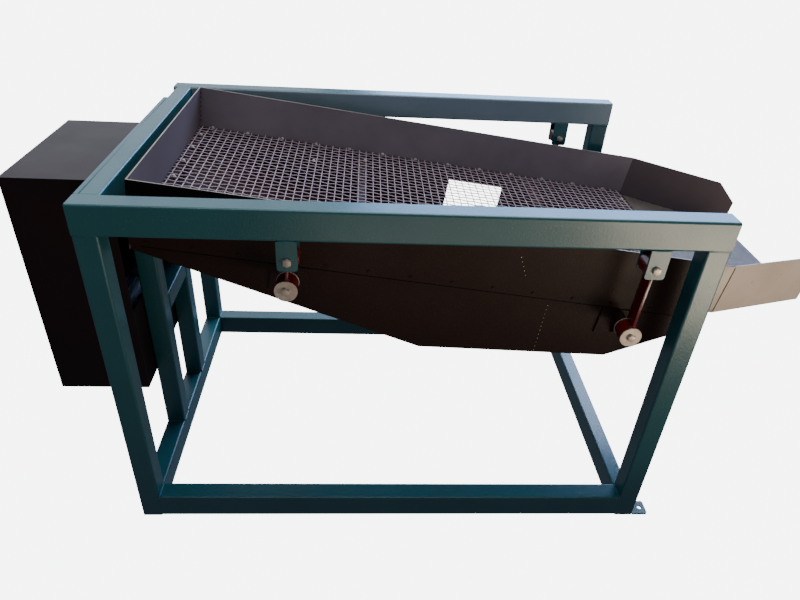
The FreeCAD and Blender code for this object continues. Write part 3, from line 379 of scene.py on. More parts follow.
def put(target: BMesh, part: BMesh, place: Matrix) -> None:
    """Moves a small mesh to its place and joins it to a larger one.

    Args:
        target: The mesh that grows.
        part: The mesh to add, freed afterwards.
        place: Where the part goes.
    """
    part.transform(place)
    scratch = bpy.data.meshes.new("scratch")
    part.to_mesh(scratch)
    part.free()
    target.from_mesh(scratch)
    bpy.data.meshes.remove(scratch)


def prism(radius: float, length: float, sides: int) -> BMesh:
    """Makes an upright prism or cylinder whose middle is the origin."""
    part = bmesh.new()
    bmesh.ops.create_cone(part, cap_ends=True, cap_tris=False, segments=sides, radius1=radius,
                          radius2=radius, depth=length)
    return part


def bevel(part: BMesh, edges: list[bmesh.types.BMEdge], width: float) -> None:
    """Breaks edges of a mesh with two facets each."""
    bmesh.ops.bevel(part, geom=edges, offset=width, offset_type="OFFSET", segments=2,
                    profile=0.5, affect="EDGES", clamp_overlap=True, material=-1)


def soften(part: BMesh, width: float) -> None:
    """Bevels the sharp edges of a mesh."""
    bevel(part, [edge for edge in part.edges
                 if edge.is_manifold and edge.calc_face_angle(0) > SHARP_TURN], width)


def add_block(target: BMesh, one: Iterable[float], other: Iterable[float],
              edge: float, place: Optional[Matrix] = None) -> None:
    """Adds a block with softened edges.

    Args:
        target: The mesh that grows.
        one: A corner.
        other: The opposite corner.
        edge: The width of the softened edges.
        place: Where the block's own axes lie.
    """
    low = Vector([min(pair) for pair in zip(one, other)])
    high = Vector([max(pair) for pair in zip(one, other)])
    part = bmesh.new()
    bmesh.ops.create_cube(part, size=1.0)
    scale = Matrix.Diagonal((*(high - low), 1.0))
    part.transform(Matrix.Translation((low + high) / 2) @ scale)
    soften(part, edge)
    put(target, part, place or Matrix.Identity(4))


def add_strip(target: BMesh, start: Vector, end: Vector, across: Vector,
              width: float, height: float) -> None:
    """Adds a thin flat strip from start to end, centred on that line.

    Args:
        target: The mesh that grows.
        start: One end of the strip's middle line.
        end: The other end.
        across: The direction of its width.
        width: Its width.
        height: Its thickness.
    """
    run = end - start
    side = across - run * (across.dot(run) / run.length_squared)
    axes = Matrix((run.normalized(), side.normalized(), run.cross(side).normalized()))
    place = Matrix.Translation((start + end) / 2) @ axes.transposed().to_4x4()
    half = Vector((run.length, width, height)) / 2
    add_block(target, -half, half, height / 4, place)


def add_disc(target: BMesh, centre: Iterable[float], radius: float, width: float,
             edge: float, along: Along = Along.Y, sides: int = 40) -> None:
    """Adds a solid disc or prism with softened rims.

    Args:
        target: The mesh that grows.
        centre: Its middle.
        radius: Its radius over the corners.
        width: Its length along the axis.
        edge: The width of the softened rims.
        along: Its axis.
        sides: How many sides it has.
    """
    part = prism(radius, width, sides)
    if edge > 0:
        soften(part, edge)
    put(target, part, Matrix.Translation(centre) @ along.value)


def add_ring(target: BMesh, centre: Iterable[float], inner: float, outer: float,
             width: float, edge: float, steps: int = 48) -> None:
    """Spins a ring about a line along Y.

    Args:
        target: The mesh that grows.
        centre: Its middle.
        inner: The hole's radius.
        outer: The outer radius.
        width: Its length along Y.
        edge: The width of its chamfers.
        steps: How many sides it has.
    """
    part = bmesh.new()
    half = width / 2
    outline = [(inner, -half + edge), (inner + edge, -half), (outer - edge, -half),
               (outer, -half + edge), (outer, half - edge), (outer - edge, half),
               (inner + edge, half), (inner, half - edge)]
    corners = [part.verts.new((radius, across, 0)) for radius, across in outline]
    edges = [part.edges.new((corners[at], corners[(at + 1) % len(corners)]))
             for at in range(len(corners))]
    bmesh.ops.spin(part, geom=corners + edges, cent=(0, 0, 0), axis=(0, 1, 0), dvec=(0, 0, 0),
                   angle=math.tau, steps=steps, use_merge=True, use_duplicate=False)
    bmesh.ops.remove_doubles(part, verts=part.verts, dist=SAME_POINT)
    bmesh.ops.recalc_face_normals(part, faces=part.faces)
    put(target, part, Matrix.Translation(centre))


def add_weld(target: BMesh, start: Iterable[float], end: Iterable[float],
             radius: float) -> None:
    """Lays a rippled weld bead between two points.

    Args:
        target: The mesh that grows.
        start: One end of the bead.
        end: The other end.
        radius: Half the bead's width.
    """
    start, end = Vector(start), Vector(end)
    run = end - start
    length = run.length
    ripple = radius * BEAD_RIPPLE
    cuts = max(BEAD_LEAST_CUTS, round(length / ripple * 2))
    part = prism(radius, length, BEAD_SIDES)
    long_edges = [edge for edge in part.edges
                  if abs((edge.verts[0].co - edge.verts[1].co).z) > length / 2]
    bmesh.ops.subdivide_edges(part, edges=long_edges, cuts=cuts, use_grid_fill=False)
    for vert in part.verts:
        share = vert.co.z / length + 0.5
        wave = abs(math.sin(math.pi * share * length / ripple))
        swell = BEAD_NARROW + (1 - BEAD_NARROW) * wave
        taper = min(1.0, BEAD_END + min(share, 1 - share) * length / (2 * radius))
        vert.co.x *= swell * taper
        vert.co.y *= swell * taper
    turn = run.to_track_quat("Z", "Y").to_matrix().to_4x4()
    put(target, part, Matrix.Translation((start + end) / 2) @ turn)


def finish_piece(name: str, mesh: BMesh, body: str, finish: Finish,
                 smooth_degrees: float = SHEET_DEGREES) -> bpy.types.Object:
    """Turns a bmesh into a dressed object that rides on a body.

    Args:
        name: The piece's name.
        mesh: Its shape, freed afterwards.
        body: The body it moves with.
        finish: Its surface.
        smooth_degrees: Edges that turn more than this stay sharp.

    Returns:
        The new object.
    """
    data = bpy.data.meshes.new(name)
    mesh.to_mesh(data)
    mesh.free()
    for face in data.polygons:
        face.use_smooth = True
    data.set_sharp_from_angle(angle=math.radians(smooth_degrees))
    data.materials.append(finish.material())
    made = add_object(name, data)
    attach(made, body)
    LOG.info("made %s with %d faces", name, len(data.polygons))
    return made


def dress_nodes() -> None:
    """Gives every carried-over node the finish of its slot."""
    for entry in frame["record"]["subparts"]:
        node = frame["nodes"][entry["node"]]
        finish = NODE_FINISH.get(entry["node"], SLOT_FINISH[entry["material_slot"]])
        for slot in node.material_slots:
            slot.material = finish.material()
    LOG.info("dressed %d nodes", len(frame["nodes"]))


def joint_point(name: str) -> Vector:
    """Returns where a joint of the record turns, in metres."""
    found = [joint for joint in frame["record"]["behaviour"]["joints"] if joint["name"] == name]
    return Vector(found[0]["pos_m"])


@dataclass
class TroughAxes:
    """The trough's own axes: along its slope, across, and square to it from the rim."""

    slope_degrees: float = 7.2
    panel_depth: float = 0.175

    def __post_init__(self) -> None:
        """Finds the rim's feed corner from the near side panel."""
        slope = math.radians(self.slope_degrees)
        low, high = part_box("side_panel_near")
        corner = Vector((low[0] + self.panel_depth * math.sin(slope), 0, high[2]))
        turn = Matrix.Rotation(slope, 4, "Y")
        self.matrix = Matrix.Translation(corner) @ turn

    def at(self, along: float, across: float, up: float) -> Vector:
        """Returns the row point for a place in the trough's axes."""
        return self.matrix @ Vector((along, across, up))


@dataclass
class WovenScreen:
    """The deck: crimped wires woven over and under each other at an even pitch."""

    axes: TroughAxes
    wire: float = 0.003
    crimp: float = 0.0011
    pitch: float = 0.024
    middle_drop: float = 0.133
    long_count: int = 32
    cross_count: int = 65
    deck_start: float = 0.006
    deck_length: float = 1.552
    half_width: float = 0.394
    steps: int = 4

    def __post_init__(self) -> None:
        """Works out where the first wire of each set lies."""
        self.first_long = -(self.long_count - 1) * self.pitch / 2
        spare = self.deck_length - (self.cross_count - 1) * self.pitch
        self.first_cross = self.deck_start + spare / 2

    def curve(self, name: str, lines: list[list[Vector]]) -> bpy.types.Object:
        """Makes round wires along lines.

        Args:
            name: The piece's name.
            lines: The points of each wire.

        Returns:
            All the wires as one object.
        """
        data = bpy.data.curves.new(name + "_line", "CURVE")
        data.dimensions = "3D"
        data.bevel_depth = self.wire / 2
        data.bevel_resolution = 1
        data.use_fill_caps = True
        for line in lines:
            spline = data.splines.new("POLY")
            spline.points.add(len(line) - 1)
            for point, spot in zip(spline.points, line):
                point.co = (*spot, 1.0)
        holder = add_object(name + "_line", data)
        mesh = bpy.data.meshes.new_from_object(holder)
        bpy.data.objects.remove(holder)
        shape = bmesh.new()
        shape.from_mesh(mesh)
        bpy.data.meshes.remove(mesh)
        return finish_piece(name, shape, "trough", GALVANISED, ROUND_DEGREES)

    def wave(self, place: float, first: float, phase: int) -> float:
        """Returns a wire's height above the mid plane at a place along it."""
        turn = (place - first) / self.pitch + phase
        return self.crimp * math.cos(math.pi * turn)

    def run(self, low: float, high: float, first: float) -> list[float]:
        """Lists the places along a wire where it gets a point."""
        step = self.pitch / self.steps
        start = first - math.floor((first - low) / step) * step
        places = [low]
        while start < high - step / 4:
            if start > low + step / 4:
                places.append(start)
            start += step
        return places + [high]

    def build(self) -> None:
        """Weaves both sets of wires in place of the plain ones."""
        deck_end = self.deck_start + self.deck_length
        places = self.run(self.deck_start, deck_end, self.first_cross)
        lines = [[self.axes.at(place, self.first_long + number * self.pitch,
                               -self.middle_drop + self.wave(place, self.first_cross, number))
                  for place in places] for number in range(self.long_count)]
        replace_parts(self.curve("woven_wires_long", lines), "screen_wires_long")
        places = self.run(-self.half_width, self.half_width, self.first_long)
        lines = [[self.axes.at(self.first_cross + number * self.pitch, place,
                               -self.middle_drop - self.wave(place, self.first_long, number))
                  for place in places] for number in range(self.cross_count)]
        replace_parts(self.curve("woven_wires_cross", lines), "screen_wires_cross")


@dataclass
class DeckScrews:
    """Small screws with washers that hold the screen down round its edge and in its middle."""

    screen: WovenScreen
    top_drop: float = 0.130
    side_line: float = 0.381
    wires_apart: int = 5
    side_count: int = 13
    end_count: int = 6
    side_start: float = 1.5
    washer_radius: float = 0.0065
    washer_height: float = 0.0012
    head_radius: float = 0.0045
    head_height: float = 0.0040
    edge: float = 0.0004
    washer_sides: int = 20
    head_sides: int = 6
    middle: tuple[tuple[float, float], ...] = ((0.413, 0.219), (0.586, 0.291))

    def places(self) -> list[tuple[float, float]]:
        """Lists where the screws stand, along and across the trough."""
        step = self.screen.pitch * self.wires_apart
        first = self.screen.first_cross + self.screen.pitch / 2
        last = self.screen.first_cross + (self.screen.cross_count - 1.5) * self.screen.pitch
        side_first = self.screen.first_cross + self.side_start * self.screen.pitch
        found = [(side_first + number * step, side * self.side_line)
                 for number in range(self.side_count) for side in SIDES.values()]
        middle = (self.end_count - 1) / 2
        found += [(line, (number - middle) * step)
                  for number in range(self.end_count) for line in (first, last)]
        return found + list(self.middle)

    def build(self) -> None:
        """Builds them in place of the plain clips."""
        shape = bmesh.new()
        for along, across in self.places():
            washer = Vector((along, across, -self.top_drop + self.washer_height / 2))
            add_disc(shape, washer, self.washer_radius, self.washer_height, self.edge, Along.Z,
                     self.washer_sides)
            head = washer + Vector((0, 0, (self.washer_height + self.head_height) / 2))
            add_disc(shape, head, self.head_radius, self.head_height, self.edge, Along.Z,
                     self.head_sides)
        shape.transform(self.screen.axes.matrix)
        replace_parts(finish_piece("deck_screw_heads", shape, "trough", DULL_ZINC),
                    "deck_screws")


@dataclass
class RockerArm:
    """One hanging arm: two bushed bosses joined by a flat bar."""

    end: str
    side: str
    length: float
    tilt_degrees: float
    boss_radius: float = 0.028
    bore_radius: float = 0.017
    boss_width: float = 0.0434
    bar_thickness: float = 0.008
    bar_width: float = 0.043
    edge: float = 0.0012
    weld_radius: float = 0.0022
    weld_sunk: float = 0.0009
    weld_rise: float = 0.0004

    def place(self) -> Matrix:
        """Returns the arm's axes: the upper pivot, with the bar hanging down."""
        hinge = joint_point("%s_swing_%s" % (self.end, self.side))
        turn = Matrix.Rotation(math.radians(self.tilt_degrees), 4, "Y")
        return Matrix.Translation(hinge) @ turn

    def build(self) -> None:
        """Builds the arm in place of its plain node."""
        shape = bmesh.new()
        for height in (0.0, -self.length):
            add_ring(shape, (0, 0, height), self.bore_radius, self.boss_radius, self.boss_width,
                     self.edge)
        top = -self.boss_radius + self.bar_thickness / 2
        low = -self.length - top
        half = self.bar_width / 2
        add_block(shape, (-self.bar_thickness / 2, -half, low),
                  (self.bar_thickness / 2, half, top), self.edge)
        for height, lean in ((-self.boss_radius, 1), (-self.length + self.boss_radius, -1)):
            for face in (-1, 1):
                spot = face * (self.bar_thickness / 2 + self.weld_sunk)
                rise = height - lean * self.weld_rise
                add_weld(shape, (spot, -half + self.edge, rise), (spot, half - self.edge, rise),
                         self.weld_radius)
        shape.transform(self.place())
        node = "rocker_%s_%s" % (self.end, self.side)
        piece = finish_piece("arm_%s_%s" % (self.end, self.side), shape, node,
                             ARM_PAINT)
        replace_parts(piece, node)

    def lower_pivot(self) -> Vector:
        """Returns the middle of the lower boss."""
        return self.place() @ Vector((0, 0, -self.length))


@dataclass
class PivotHardware:
    """Bolts, nuts and washers of the eight pivots."""

    arms: list[RockerArm]
    rail_half: float = 0.030
    thread_radius: float = 0.006
    thread_pitch: float = 0.00175
    thread_ridges: int = 2
    thread_sides: int = 24
    shank_sides: int = 32
    thread_cut: float = 0.3
    flats: float = 0.019
    head_height: float = 0.0075
    nut_height: float = 0.010
    corner_cut: float = 0.16
    washer_radius: float = 0.029
    washer_width: float = 0.003
    washer_edge: float = 0.0006
    washer_sides: int = 64
    side_gap: float = 0.0003
    bore_gap: float = 0.00005
    stub_reach: float = 0.047

    def hexagon(self, target: BMesh, face: Vector, outward: float,
                height: float) -> None:
        """Adds a chamfered hexagon that stands on a face.

        Args:
            target: The mesh that grows.
            face: The middle of the face.
            outward: One or minus one, the way it stands along Y.
            height: How far it stands.
        """
        part = prism(self.flats / math.sqrt(3), height, 6)
        outer = [edge for edge in part.edges if all(vert.co.z > 0 for vert in edge.verts)]
        bevel(part, outer, height * self.corner_cut)
        centre = face + Vector((0, outward * height / 2, 0))
        turn = Matrix.Rotation(math.radians(-90 * outward), 4, "X")
        put(target, part, Matrix.Translation(centre) @ turn)

    def threaded_end(self, target: BMesh, start: Vector, outward: float) -> None:
        """Adds the ridged bolt end that stands past a nut along Y."""
        for number in range(self.thread_ridges):
            middle = start + Vector((0, outward * (number + 0.5) * self.thread_pitch, 0))
            add_disc(target, middle, self.thread_radius, self.thread_pitch,
                     self.thread_pitch * self.thread_cut, sides=self.thread_sides)

    def build(self) -> None:
        """Builds the upper bolts on the frame and the lower ones on the trough."""
        upper = bmesh.new()
        lower = bmesh.new()
        washers = bmesh.new()
        for arm in self.arms:
            out = SIDES[arm.side]
            hinge = joint_point("%s_swing_%s" % (arm.end, arm.side))
            outer = hinge + Vector((0, out * self.rail_half, 0))
            inner = hinge - Vector((0, out * self.rail_half, 0))
            self.hexagon(upper, outer, out, self.head_height)
            self.hexagon(upper, inner, -out, self.nut_height)
            add_disc(upper, hinge, self.thread_radius, 2 * self.rail_half, 0.0,
                     sides=self.shank_sides)
            self.threaded_end(upper, inner - Vector((0, out * self.nut_height, 0)), -out)
            pin = arm.lower_pivot()
            reach = arm.boss_width / 2 + self.side_gap
            for side in (-1, 1):
                add_ring(washers, pin + Vector((0, side * (reach + self.washer_width / 2), 0)),
                         self.thread_radius + self.bore_gap, self.washer_radius,
                         self.washer_width, self.washer_edge, self.washer_sides)
            face = pin + Vector((0, out * (reach + self.washer_width), 0))
            self.hexagon(lower, face, out, self.head_height)
            far = pin - Vector((0, out * (reach + self.washer_width + self.stub_reach), 0))
            add_disc(lower, (face + far) / 2, self.thread_radius, (face - far).length, 0.0,
                     sides=self.shank_sides)
        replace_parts(finish_piece("upper_pivot_bolts", upper, "frame", ZINC,
                                 BOLT_DEGREES), "hanger_fasteners")
        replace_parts(finish_piece("lower_pivot_bolts", lower, "trough", ZINC,
                                 BOLT_DEGREES), "pin_bolts")
        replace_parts(finish_piece("lower_pivot_washers", washers, "trough", ZINC),
                    "pin_washers")


@dataclass
class FrameWelds:
    """Weld beads and ground joints where the frame's tubes and plates meet."""

    bead: float = 0.0028
    small_bead: float = 0.0023
    corner: float = 0.005
    groove: float = 0.0062
    flush: float = 0.0002
    fill_edge: float = 0.0006
    strip_thickness: float = 0.010
    strip_gap: float = 0.124
    plate_half: float = 0.0215
    plate_lines: tuple[float, ...] = (-0.0282, -0.0228, 0.0228, 0.0282)
    plate_sunk: float = 0.0008
    foot_margin: float = 0.006
    foot_width: float = 0.050

    def round_tube(self, target: BMesh, low: Vector, high: Vector, height: float,
                   skip: str) -> None:
        """Lays beads round an upright tube's foot or head, at one height.

        Args:
            target: The mesh that grows.
            low: The tube's lowest corner.
            high: Its highest corner.
            height: Where the beads lie.
            skip: Letters of the faces left bare, from n, f, l and r.
        """
        inset = self.corner
        lines = {
            "n": ((low.x + inset, low.y), (high.x - inset, low.y)),
            "f": ((low.x + inset, high.y), (high.x - inset, high.y)),
            "l": ((low.x, low.y + inset), (low.x, high.y - inset)),
            "r": ((high.x, low.y + inset), (high.x, high.y - inset)),
        }
        for face, (start, end) in lines.items():
            if face not in skip:
                add_weld(target, (*start, height), (*end, height), self.bead)

    def tube_ends(self, target: BMesh, low: Vector, high: Vector, heights: tuple[float, ...],
                  upright: float, bead: float) -> None:
        """Lays beads round both ends of a tube that runs along Y.

        Args:
            target: The mesh that grows.
            low: The tube's lowest corner.
            high: Its highest corner.
            heights: Where the level beads lie.
            upright: Where the upright beads stand along X.
            bead: Half the beads' width.
        """
        inset = self.corner
        for line in (low.y, high.y):
            for height in heights:
                add_weld(target, (low.x + inset, line, height), (high.x - inset, line, height),
                         bead)
            add_weld(target, (upright, line, low.z + inset), (upright, line, high.z - inset), bead)

    def build(self) -> None:
        """Lays the frame's beads as one piece and its ground joints as another."""
        shape = bmesh.new()
        inset = self.corner
        for end, side in CORNERS:
            low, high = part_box("leg_%s_%s" % (end, side))
            self.round_tube(shape, low, high, high.z, "n" if side == "near" else "f")
            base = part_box("base_rail_" + side)[1].z
            edge_x = high.x if end == "feed" else low.x
            add_weld(shape, (edge_x, low.y + inset, base), (edge_x, high.y - inset, base),
                     self.bead)
            inner_y = high.y if side == "near" else low.y
            add_weld(shape, (low.x + inset, inner_y, base),
                     (high.x - 3 * inset, inner_y, base), self.bead)
        for side in SIDES:
            low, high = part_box("drive_post_" + side)
            for height in (low.z, high.z):
                self.round_tube(shape, low, high, height, "l")
        low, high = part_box("drive_post_tie")
        self.tube_ends(shape, low, high, (low.z, high.z), high.x, self.bead)
        self.hanger_beads(shape)
        self.rail_beads(shape)
        finish_piece("frame_weld_beads", shape, "frame", FRAME_WELD, ROUND_DEGREES)
        flat = bmesh.new()
        self.flush_joints(flat)
        finish_piece("frame_ground_joints", flat, "frame", FRAME_PAINT)

    def hanger_beads(self, shape: BMesh) -> None:
        """Lays the beads that hold the clevis plates under the long rails."""
        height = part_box("top_rail_near")[0].z - self.plate_sunk
        half = Vector((self.plate_half, 0, 0))
        for end, side in CORNERS:
            hinge = joint_point("%s_swing_%s" % (end, side))
            for line in self.plate_lines:
                spot = Vector((hinge.x, hinge.y + line, height))
                add_weld(shape, spot - half, spot + half, self.small_bead)

    def rail_beads(self, shape: BMesh) -> None:
        """Lays the beads where cross rails and foot plates butt against the frame."""
        low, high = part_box("top_rail_feed")
        low = low + Vector((self.strip_thickness, 0, 0))
        self.tube_ends(shape, low, high, (low.z,), high.x, self.small_bead)
        low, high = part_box("base_rail_discharge")
        self.tube_ends(shape, low, high, (high.z,), low.x, self.bead)
        low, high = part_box("foot_plates")
        length = self.foot_width - 2 * self.foot_margin
        for line in (low.y + self.foot_margin, high.y - self.foot_width + self.foot_margin):
            add_weld(shape, (low.x, line, high.z), (low.x, line + length, high.z), self.small_bead)

    def flush_joints(self, shape: BMesh) -> None:
        """Fills the grooves between rounded tubes, ground flat and painted over."""
        rail_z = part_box("top_rail_near")[0].z
        base_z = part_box("base_rail_near")[1].z
        trim = self.corner / 2
        for end, side in CORNERS:
            out = SIDES[side]
            low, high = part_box("leg_%s_%s" % (end, side))
            face = (low.y if side == "near" else high.y) - out * self.flush
            back = face - out * self.groove
            add_block(shape, (low.x + trim, face, rail_z),
                      (high.x - trim, back, rail_z + self.groove), self.fill_edge)
            joint, inward = (high.x, -1) if end == "feed" else (low.x, 1)
            add_block(shape, (joint, face, trim),
                      (joint + inward * self.groove, back, base_z - trim), self.fill_edge)
        low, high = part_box("top_rail_feed")
        top = high.z - self.flush
        tube_x = low.x + self.strip_thickness
        add_block(shape, (tube_x - self.flush, low.y, top),
                  (tube_x + self.groove, high.y - self.strip_gap, top - self.groove),
                  self.fill_edge)
        for line, inward in ((low.y, -1), (high.y, 1)):
            start = low.x + self.flush if inward < 0 else tube_x + self.flush
            add_block(shape, (start, line - inward * self.flush, top),
                      (high.x - trim, line + inward * self.groove, top - self.groove),
                      self.fill_edge)


@dataclass
class TroughSeams:
    """Welds, weld spots, and the painted glints, shade, glare and edge highlights of the trough's
    sheets.
    """

    axes: TroughAxes
    outer_y: float = 0.400
    sheet: float = 0.004
    panel_joint: float = 0.990
    panel_top: float = 0.060
    panel_low: float = 0.112
    panel_lean: float = 0.026
    cheek_joint: float = 1.105
    cheek_top: float = 0.198
    cheek_low: float = 0.352
    cheek_lean: float = 0.006
    length: float = 1.570
    spout_length: float = 0.355
    spout_narrows: float = 0.150
    spout_depth: float = 0.150
    chamfer_length: float = 0.063
    chamfer_drop: float = 0.057
    stitch_bead: float = 0.0022
    stitch_sunk: float = 0.001
    corner_stitches: int = 7
    corner_first: float = 0.014
    corner_pitch: float = 0.016
    corner_stitch: float = 0.006
    floor_stitches: int = 9
    floor_first: float = 0.005
    floor_pitch: float = 0.040
    floor_stitch: float = 0.012
    seam_bead: float = 0.0016
    spot_radius: float = 0.0013
    spot_height: float = 0.0010
    spot_pitch: float = 0.013
    spot_sides: int = 10
    edge_height: float = 0.0016
    edge_proud: float = 0.00015
    edge_width: float = 0.0036
    # Where the strip of painted shade under the panels starts and ends, and how tall it is
    shade_start: float = 0.030
    shade_end: float = 1.550
    shade_height: float = 0.0032
    # Size of the pale film of painted glare by the spout's fold
    glare_length: float = 0.045
    glare_depth: float = 0.148
    glare_proud: float = 0.0002
    mouth_share: float = 0.97

    def build(self) -> None:
        """Lays every bead, spot, edge and film of the trough."""
        beads = bmesh.new()
        glint_spots = bmesh.new()
        edges = bmesh.new()
        for out in SIDES.values():
            self.beads(beads, out)
            self.glint_spots(glint_spots, out)
            self.edges(edges, out)
        # The feed end's top edge also gets a pale strip of painted highlight
        rim = Vector((self.sheet / 2, 0, self.edge_proud - self.edge_height / 2))
        half = Vector((0, self.outer_y - self.sheet, 0))
        self.paint_edge_highlight(edges, rim - half, rim + half, (1, 0, 0))
        # The dark strip under the panels is painted shade
        seam_shade = self.paint_seam_shade()
        # The pale film by the spout's fold is painted glare, a reflection of bright light
        painted_glare = self.painted_glare()
        for shape in (beads, glint_spots, edges, seam_shade, painted_glare):
            shape.transform(self.axes.matrix)
        finish_piece("trough_weld_beads", beads, "trough", TROUGH_WELD,
                     ROUND_DEGREES)
        finish_piece("trough_weld_spot_glints", glint_spots, "trough", WELD_SPOT_GLINT)
        finish_piece("trough_edge_highlights", edges, "trough", EDGE_HIGHLIGHT_PAINT)
        finish_piece("trough_seam_painted_shade", seam_shade, "trough", PAINTED_SEAM_SHADE)
        finish_piece("spout_fold_painted_glare", painted_glare, "trough", SPOUT_PAINTED_GLARE)

    def paint_seam_shade(self) -> BMesh:
        """Runs a dark strip of painted shade under the lower edge of both side panels."""
        shape = bmesh.new()
        for out in SIDES.values():
            add_block(shape, (self.shade_start, out * (self.outer_y - self.sheet),
                              -self.axes.panel_depth - self.shade_height),
                      (self.shade_end, out * (self.outer_y - self.sheet / 8),
                       -self.axes.panel_depth + self.edge_proud), self.shade_height / 4)
        return shape

    def painted_glare(self) -> BMesh:
        """Lays a pale film of painted glare over the near panel's last stretch, up to the spout's
        fold.
        """
        shape = bmesh.new()
        add_block(shape, (self.length - self.glare_length, -self.outer_y - self.glare_proud,
                          -self.glare_depth),
                  (self.length - self.glare_proud, -self.outer_y + self.sheet / 8,
                   -self.edge_height), self.glare_proud / 2)
        return shape

    def beads(self, shape: BMesh, out: float) -> None:
        """Lays the fold's bead and the stitches inside one side of the trough."""
        fold = out * self.outer_y
        add_weld(shape, (self.length, fold, -self.sheet),
                 (self.length, fold, -self.spout_depth + self.sheet), self.seam_bead)
        inside = out * (self.outer_y - self.sheet - self.stitch_sunk)
        corner = self.sheet + self.stitch_sunk
        for number in range(self.corner_stitches):
            drop = -self.corner_first - number * self.corner_pitch
            add_weld(shape, (corner, inside, drop), (corner, inside, drop - self.corner_stitch),
                     self.stitch_bead)
        wall = Vector((self.spout_length, -out * self.spout_narrows, 0)).normalized()
        start = Vector((self.length + self.floor_first, inside - out * self.stitch_sunk,
                        -self.spout_depth + self.sheet + self.stitch_sunk / 2))
        for number in range(self.floor_stitches):
            spot = start + wall * (self.floor_pitch * number)
            add_weld(shape, spot, spot + wall * self.floor_stitch, self.stitch_bead)

    def glint_spots(self, shape: BMesh, out: float) -> None:
        """Sets the pale spots, painted glints, down the two stitched butt joints of one side."""
        face = out * (self.outer_y + self.spot_height / 4)
        cheek = face - out * self.sheet
        rows = ((Vector((self.panel_joint, face, -self.panel_top)),
                 Vector((self.panel_joint + self.panel_lean, face, -self.panel_low))),
                (Vector((self.cheek_joint, cheek, -self.cheek_top)),
                 Vector((self.cheek_joint + self.cheek_lean, cheek, -self.cheek_low))))
        for start, end in rows:
            count = int((end - start).length / self.spot_pitch)
            for number in range(count + 1):
                add_disc(shape, start.lerp(end, number / count), self.spot_radius,
                         self.spot_height, self.spot_height / 4, sides=self.spot_sides)

    def edges(self, shape: BMesh, out: float) -> None:
        """Paints pale strips of painted highlight on the top edges of one side wall and its spout
        wall.
        """
        line = out * (self.outer_y - self.sheet / 2)
        height = self.edge_proud - self.edge_height / 2
        fold = Vector((self.length, line, height))
        self.paint_edge_highlight(shape, Vector((0, line, height)), fold)
        share = 1 - self.chamfer_length / self.spout_length
        bend = fold + Vector((self.spout_length * share, -out * self.spout_narrows * share, 0))
        mouth = fold + Vector((self.spout_length, -out * self.spout_narrows, -self.chamfer_drop))
        self.paint_edge_highlight(shape, fold, bend)
        self.paint_edge_highlight(shape, bend, bend.lerp(mouth, self.mouth_share))

    def paint_edge_highlight(self, shape: BMesh, start: Vector, end: Vector,
            across: tuple[float, float, float] = (0, 1, 0)) -> None:
        """Lays one pale strip of painted highlight on an edge."""
        add_strip(shape, start, end, Vector(across), self.edge_width, self.edge_height)


@dataclass
class GuardScrews:
    """Pan-head screws that hold the drive guard's far cover."""

    radius: float = 0.0055
    height: float = 0.0030
    edge: float = 0.0010
    margin: float = 0.014
    end_room: float = 0.030
    count: int = 6
    sides: int = 24

    def build(self) -> None:
        """Sets two rows of screws on the guard's far face."""
        low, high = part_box("guard_panels")
        shape = bmesh.new()
        for number in range(self.count):
            share = number / (self.count - 1)
            height = low.z + self.end_room + share * (high.z - low.z - 2 * self.end_room)
            for across in (low.x + self.margin, high.x - self.margin):
                add_disc(shape, (across, high.y + self.height / 2, height), self.radius,
                         self.height, self.edge, sides=self.sides)
        finish_piece("guard_screws", shape, "frame", GUARD_PAINT)


@dataclass(frozen=True)
class Lamp:
    """One soft rectangular light: its place, what it faces, its size, radiance and colour."""

    name: str
    place: tuple[float, float, float]
    aim: tuple[float, float, float]
    size: tuple[float, float]
    radiance: float
    colour: str

    def hang(self) -> None:
        """Adds the light to the scene, unseen by the camera."""
        data = bpy.data.lights.new(self.name, "AREA")
        data.shape = "RECTANGLE"
        data.size, data.size_y = self.size
        data.energy = self.radiance * math.pi * self.size[0] * self.size[1]
        data.color = linear(self.colour)[:3]
        holder = add_object(self.name, data)
        holder.location = self.place
        facing = Vector(self.aim) - Vector(self.place)
        holder.rotation_euler = facing.to_track_quat("-Z", "Y").to_euler()
        holder.visible_camera = False


LAMPS = (
    Lamp("sky_behind_right", (2.0, 3.6, 2.6), (0.3, 0.0, 0.9), (4.8, 2.2), 8.0, "#A2C6FF"),
    Lamp("sky_behind_left", (-2.0, 3.6, 2.6), (-0.3, 0.0, 0.9), (3.2, 2.2), 1.6, "#DCE4F4"),
    Lamp("overhead", (-0.2, -0.5, 4.0), (-0.2, -0.49, 0.0), (3.6, 1.6), 3.0, "#FFFFFF"),
    Lamp("window_right", (4.0, 0.4, 1.9), (0.4, 0.0, 0.7), (2.4, 2.0), 3.0, "#E6EEFF"),
    Lamp("low_card_right", (2.45, -2.4, 0.05), (2.45, -2.399, 3.0), (2.4, 1.7), 12.0, "#FFEBD0"),
    Lamp("low_card_middle", (0.35, -2.4, 0.05), (0.35, -2.399, 3.0), (1.7, 1.7), 1.3, "#FFE9D0"),
)


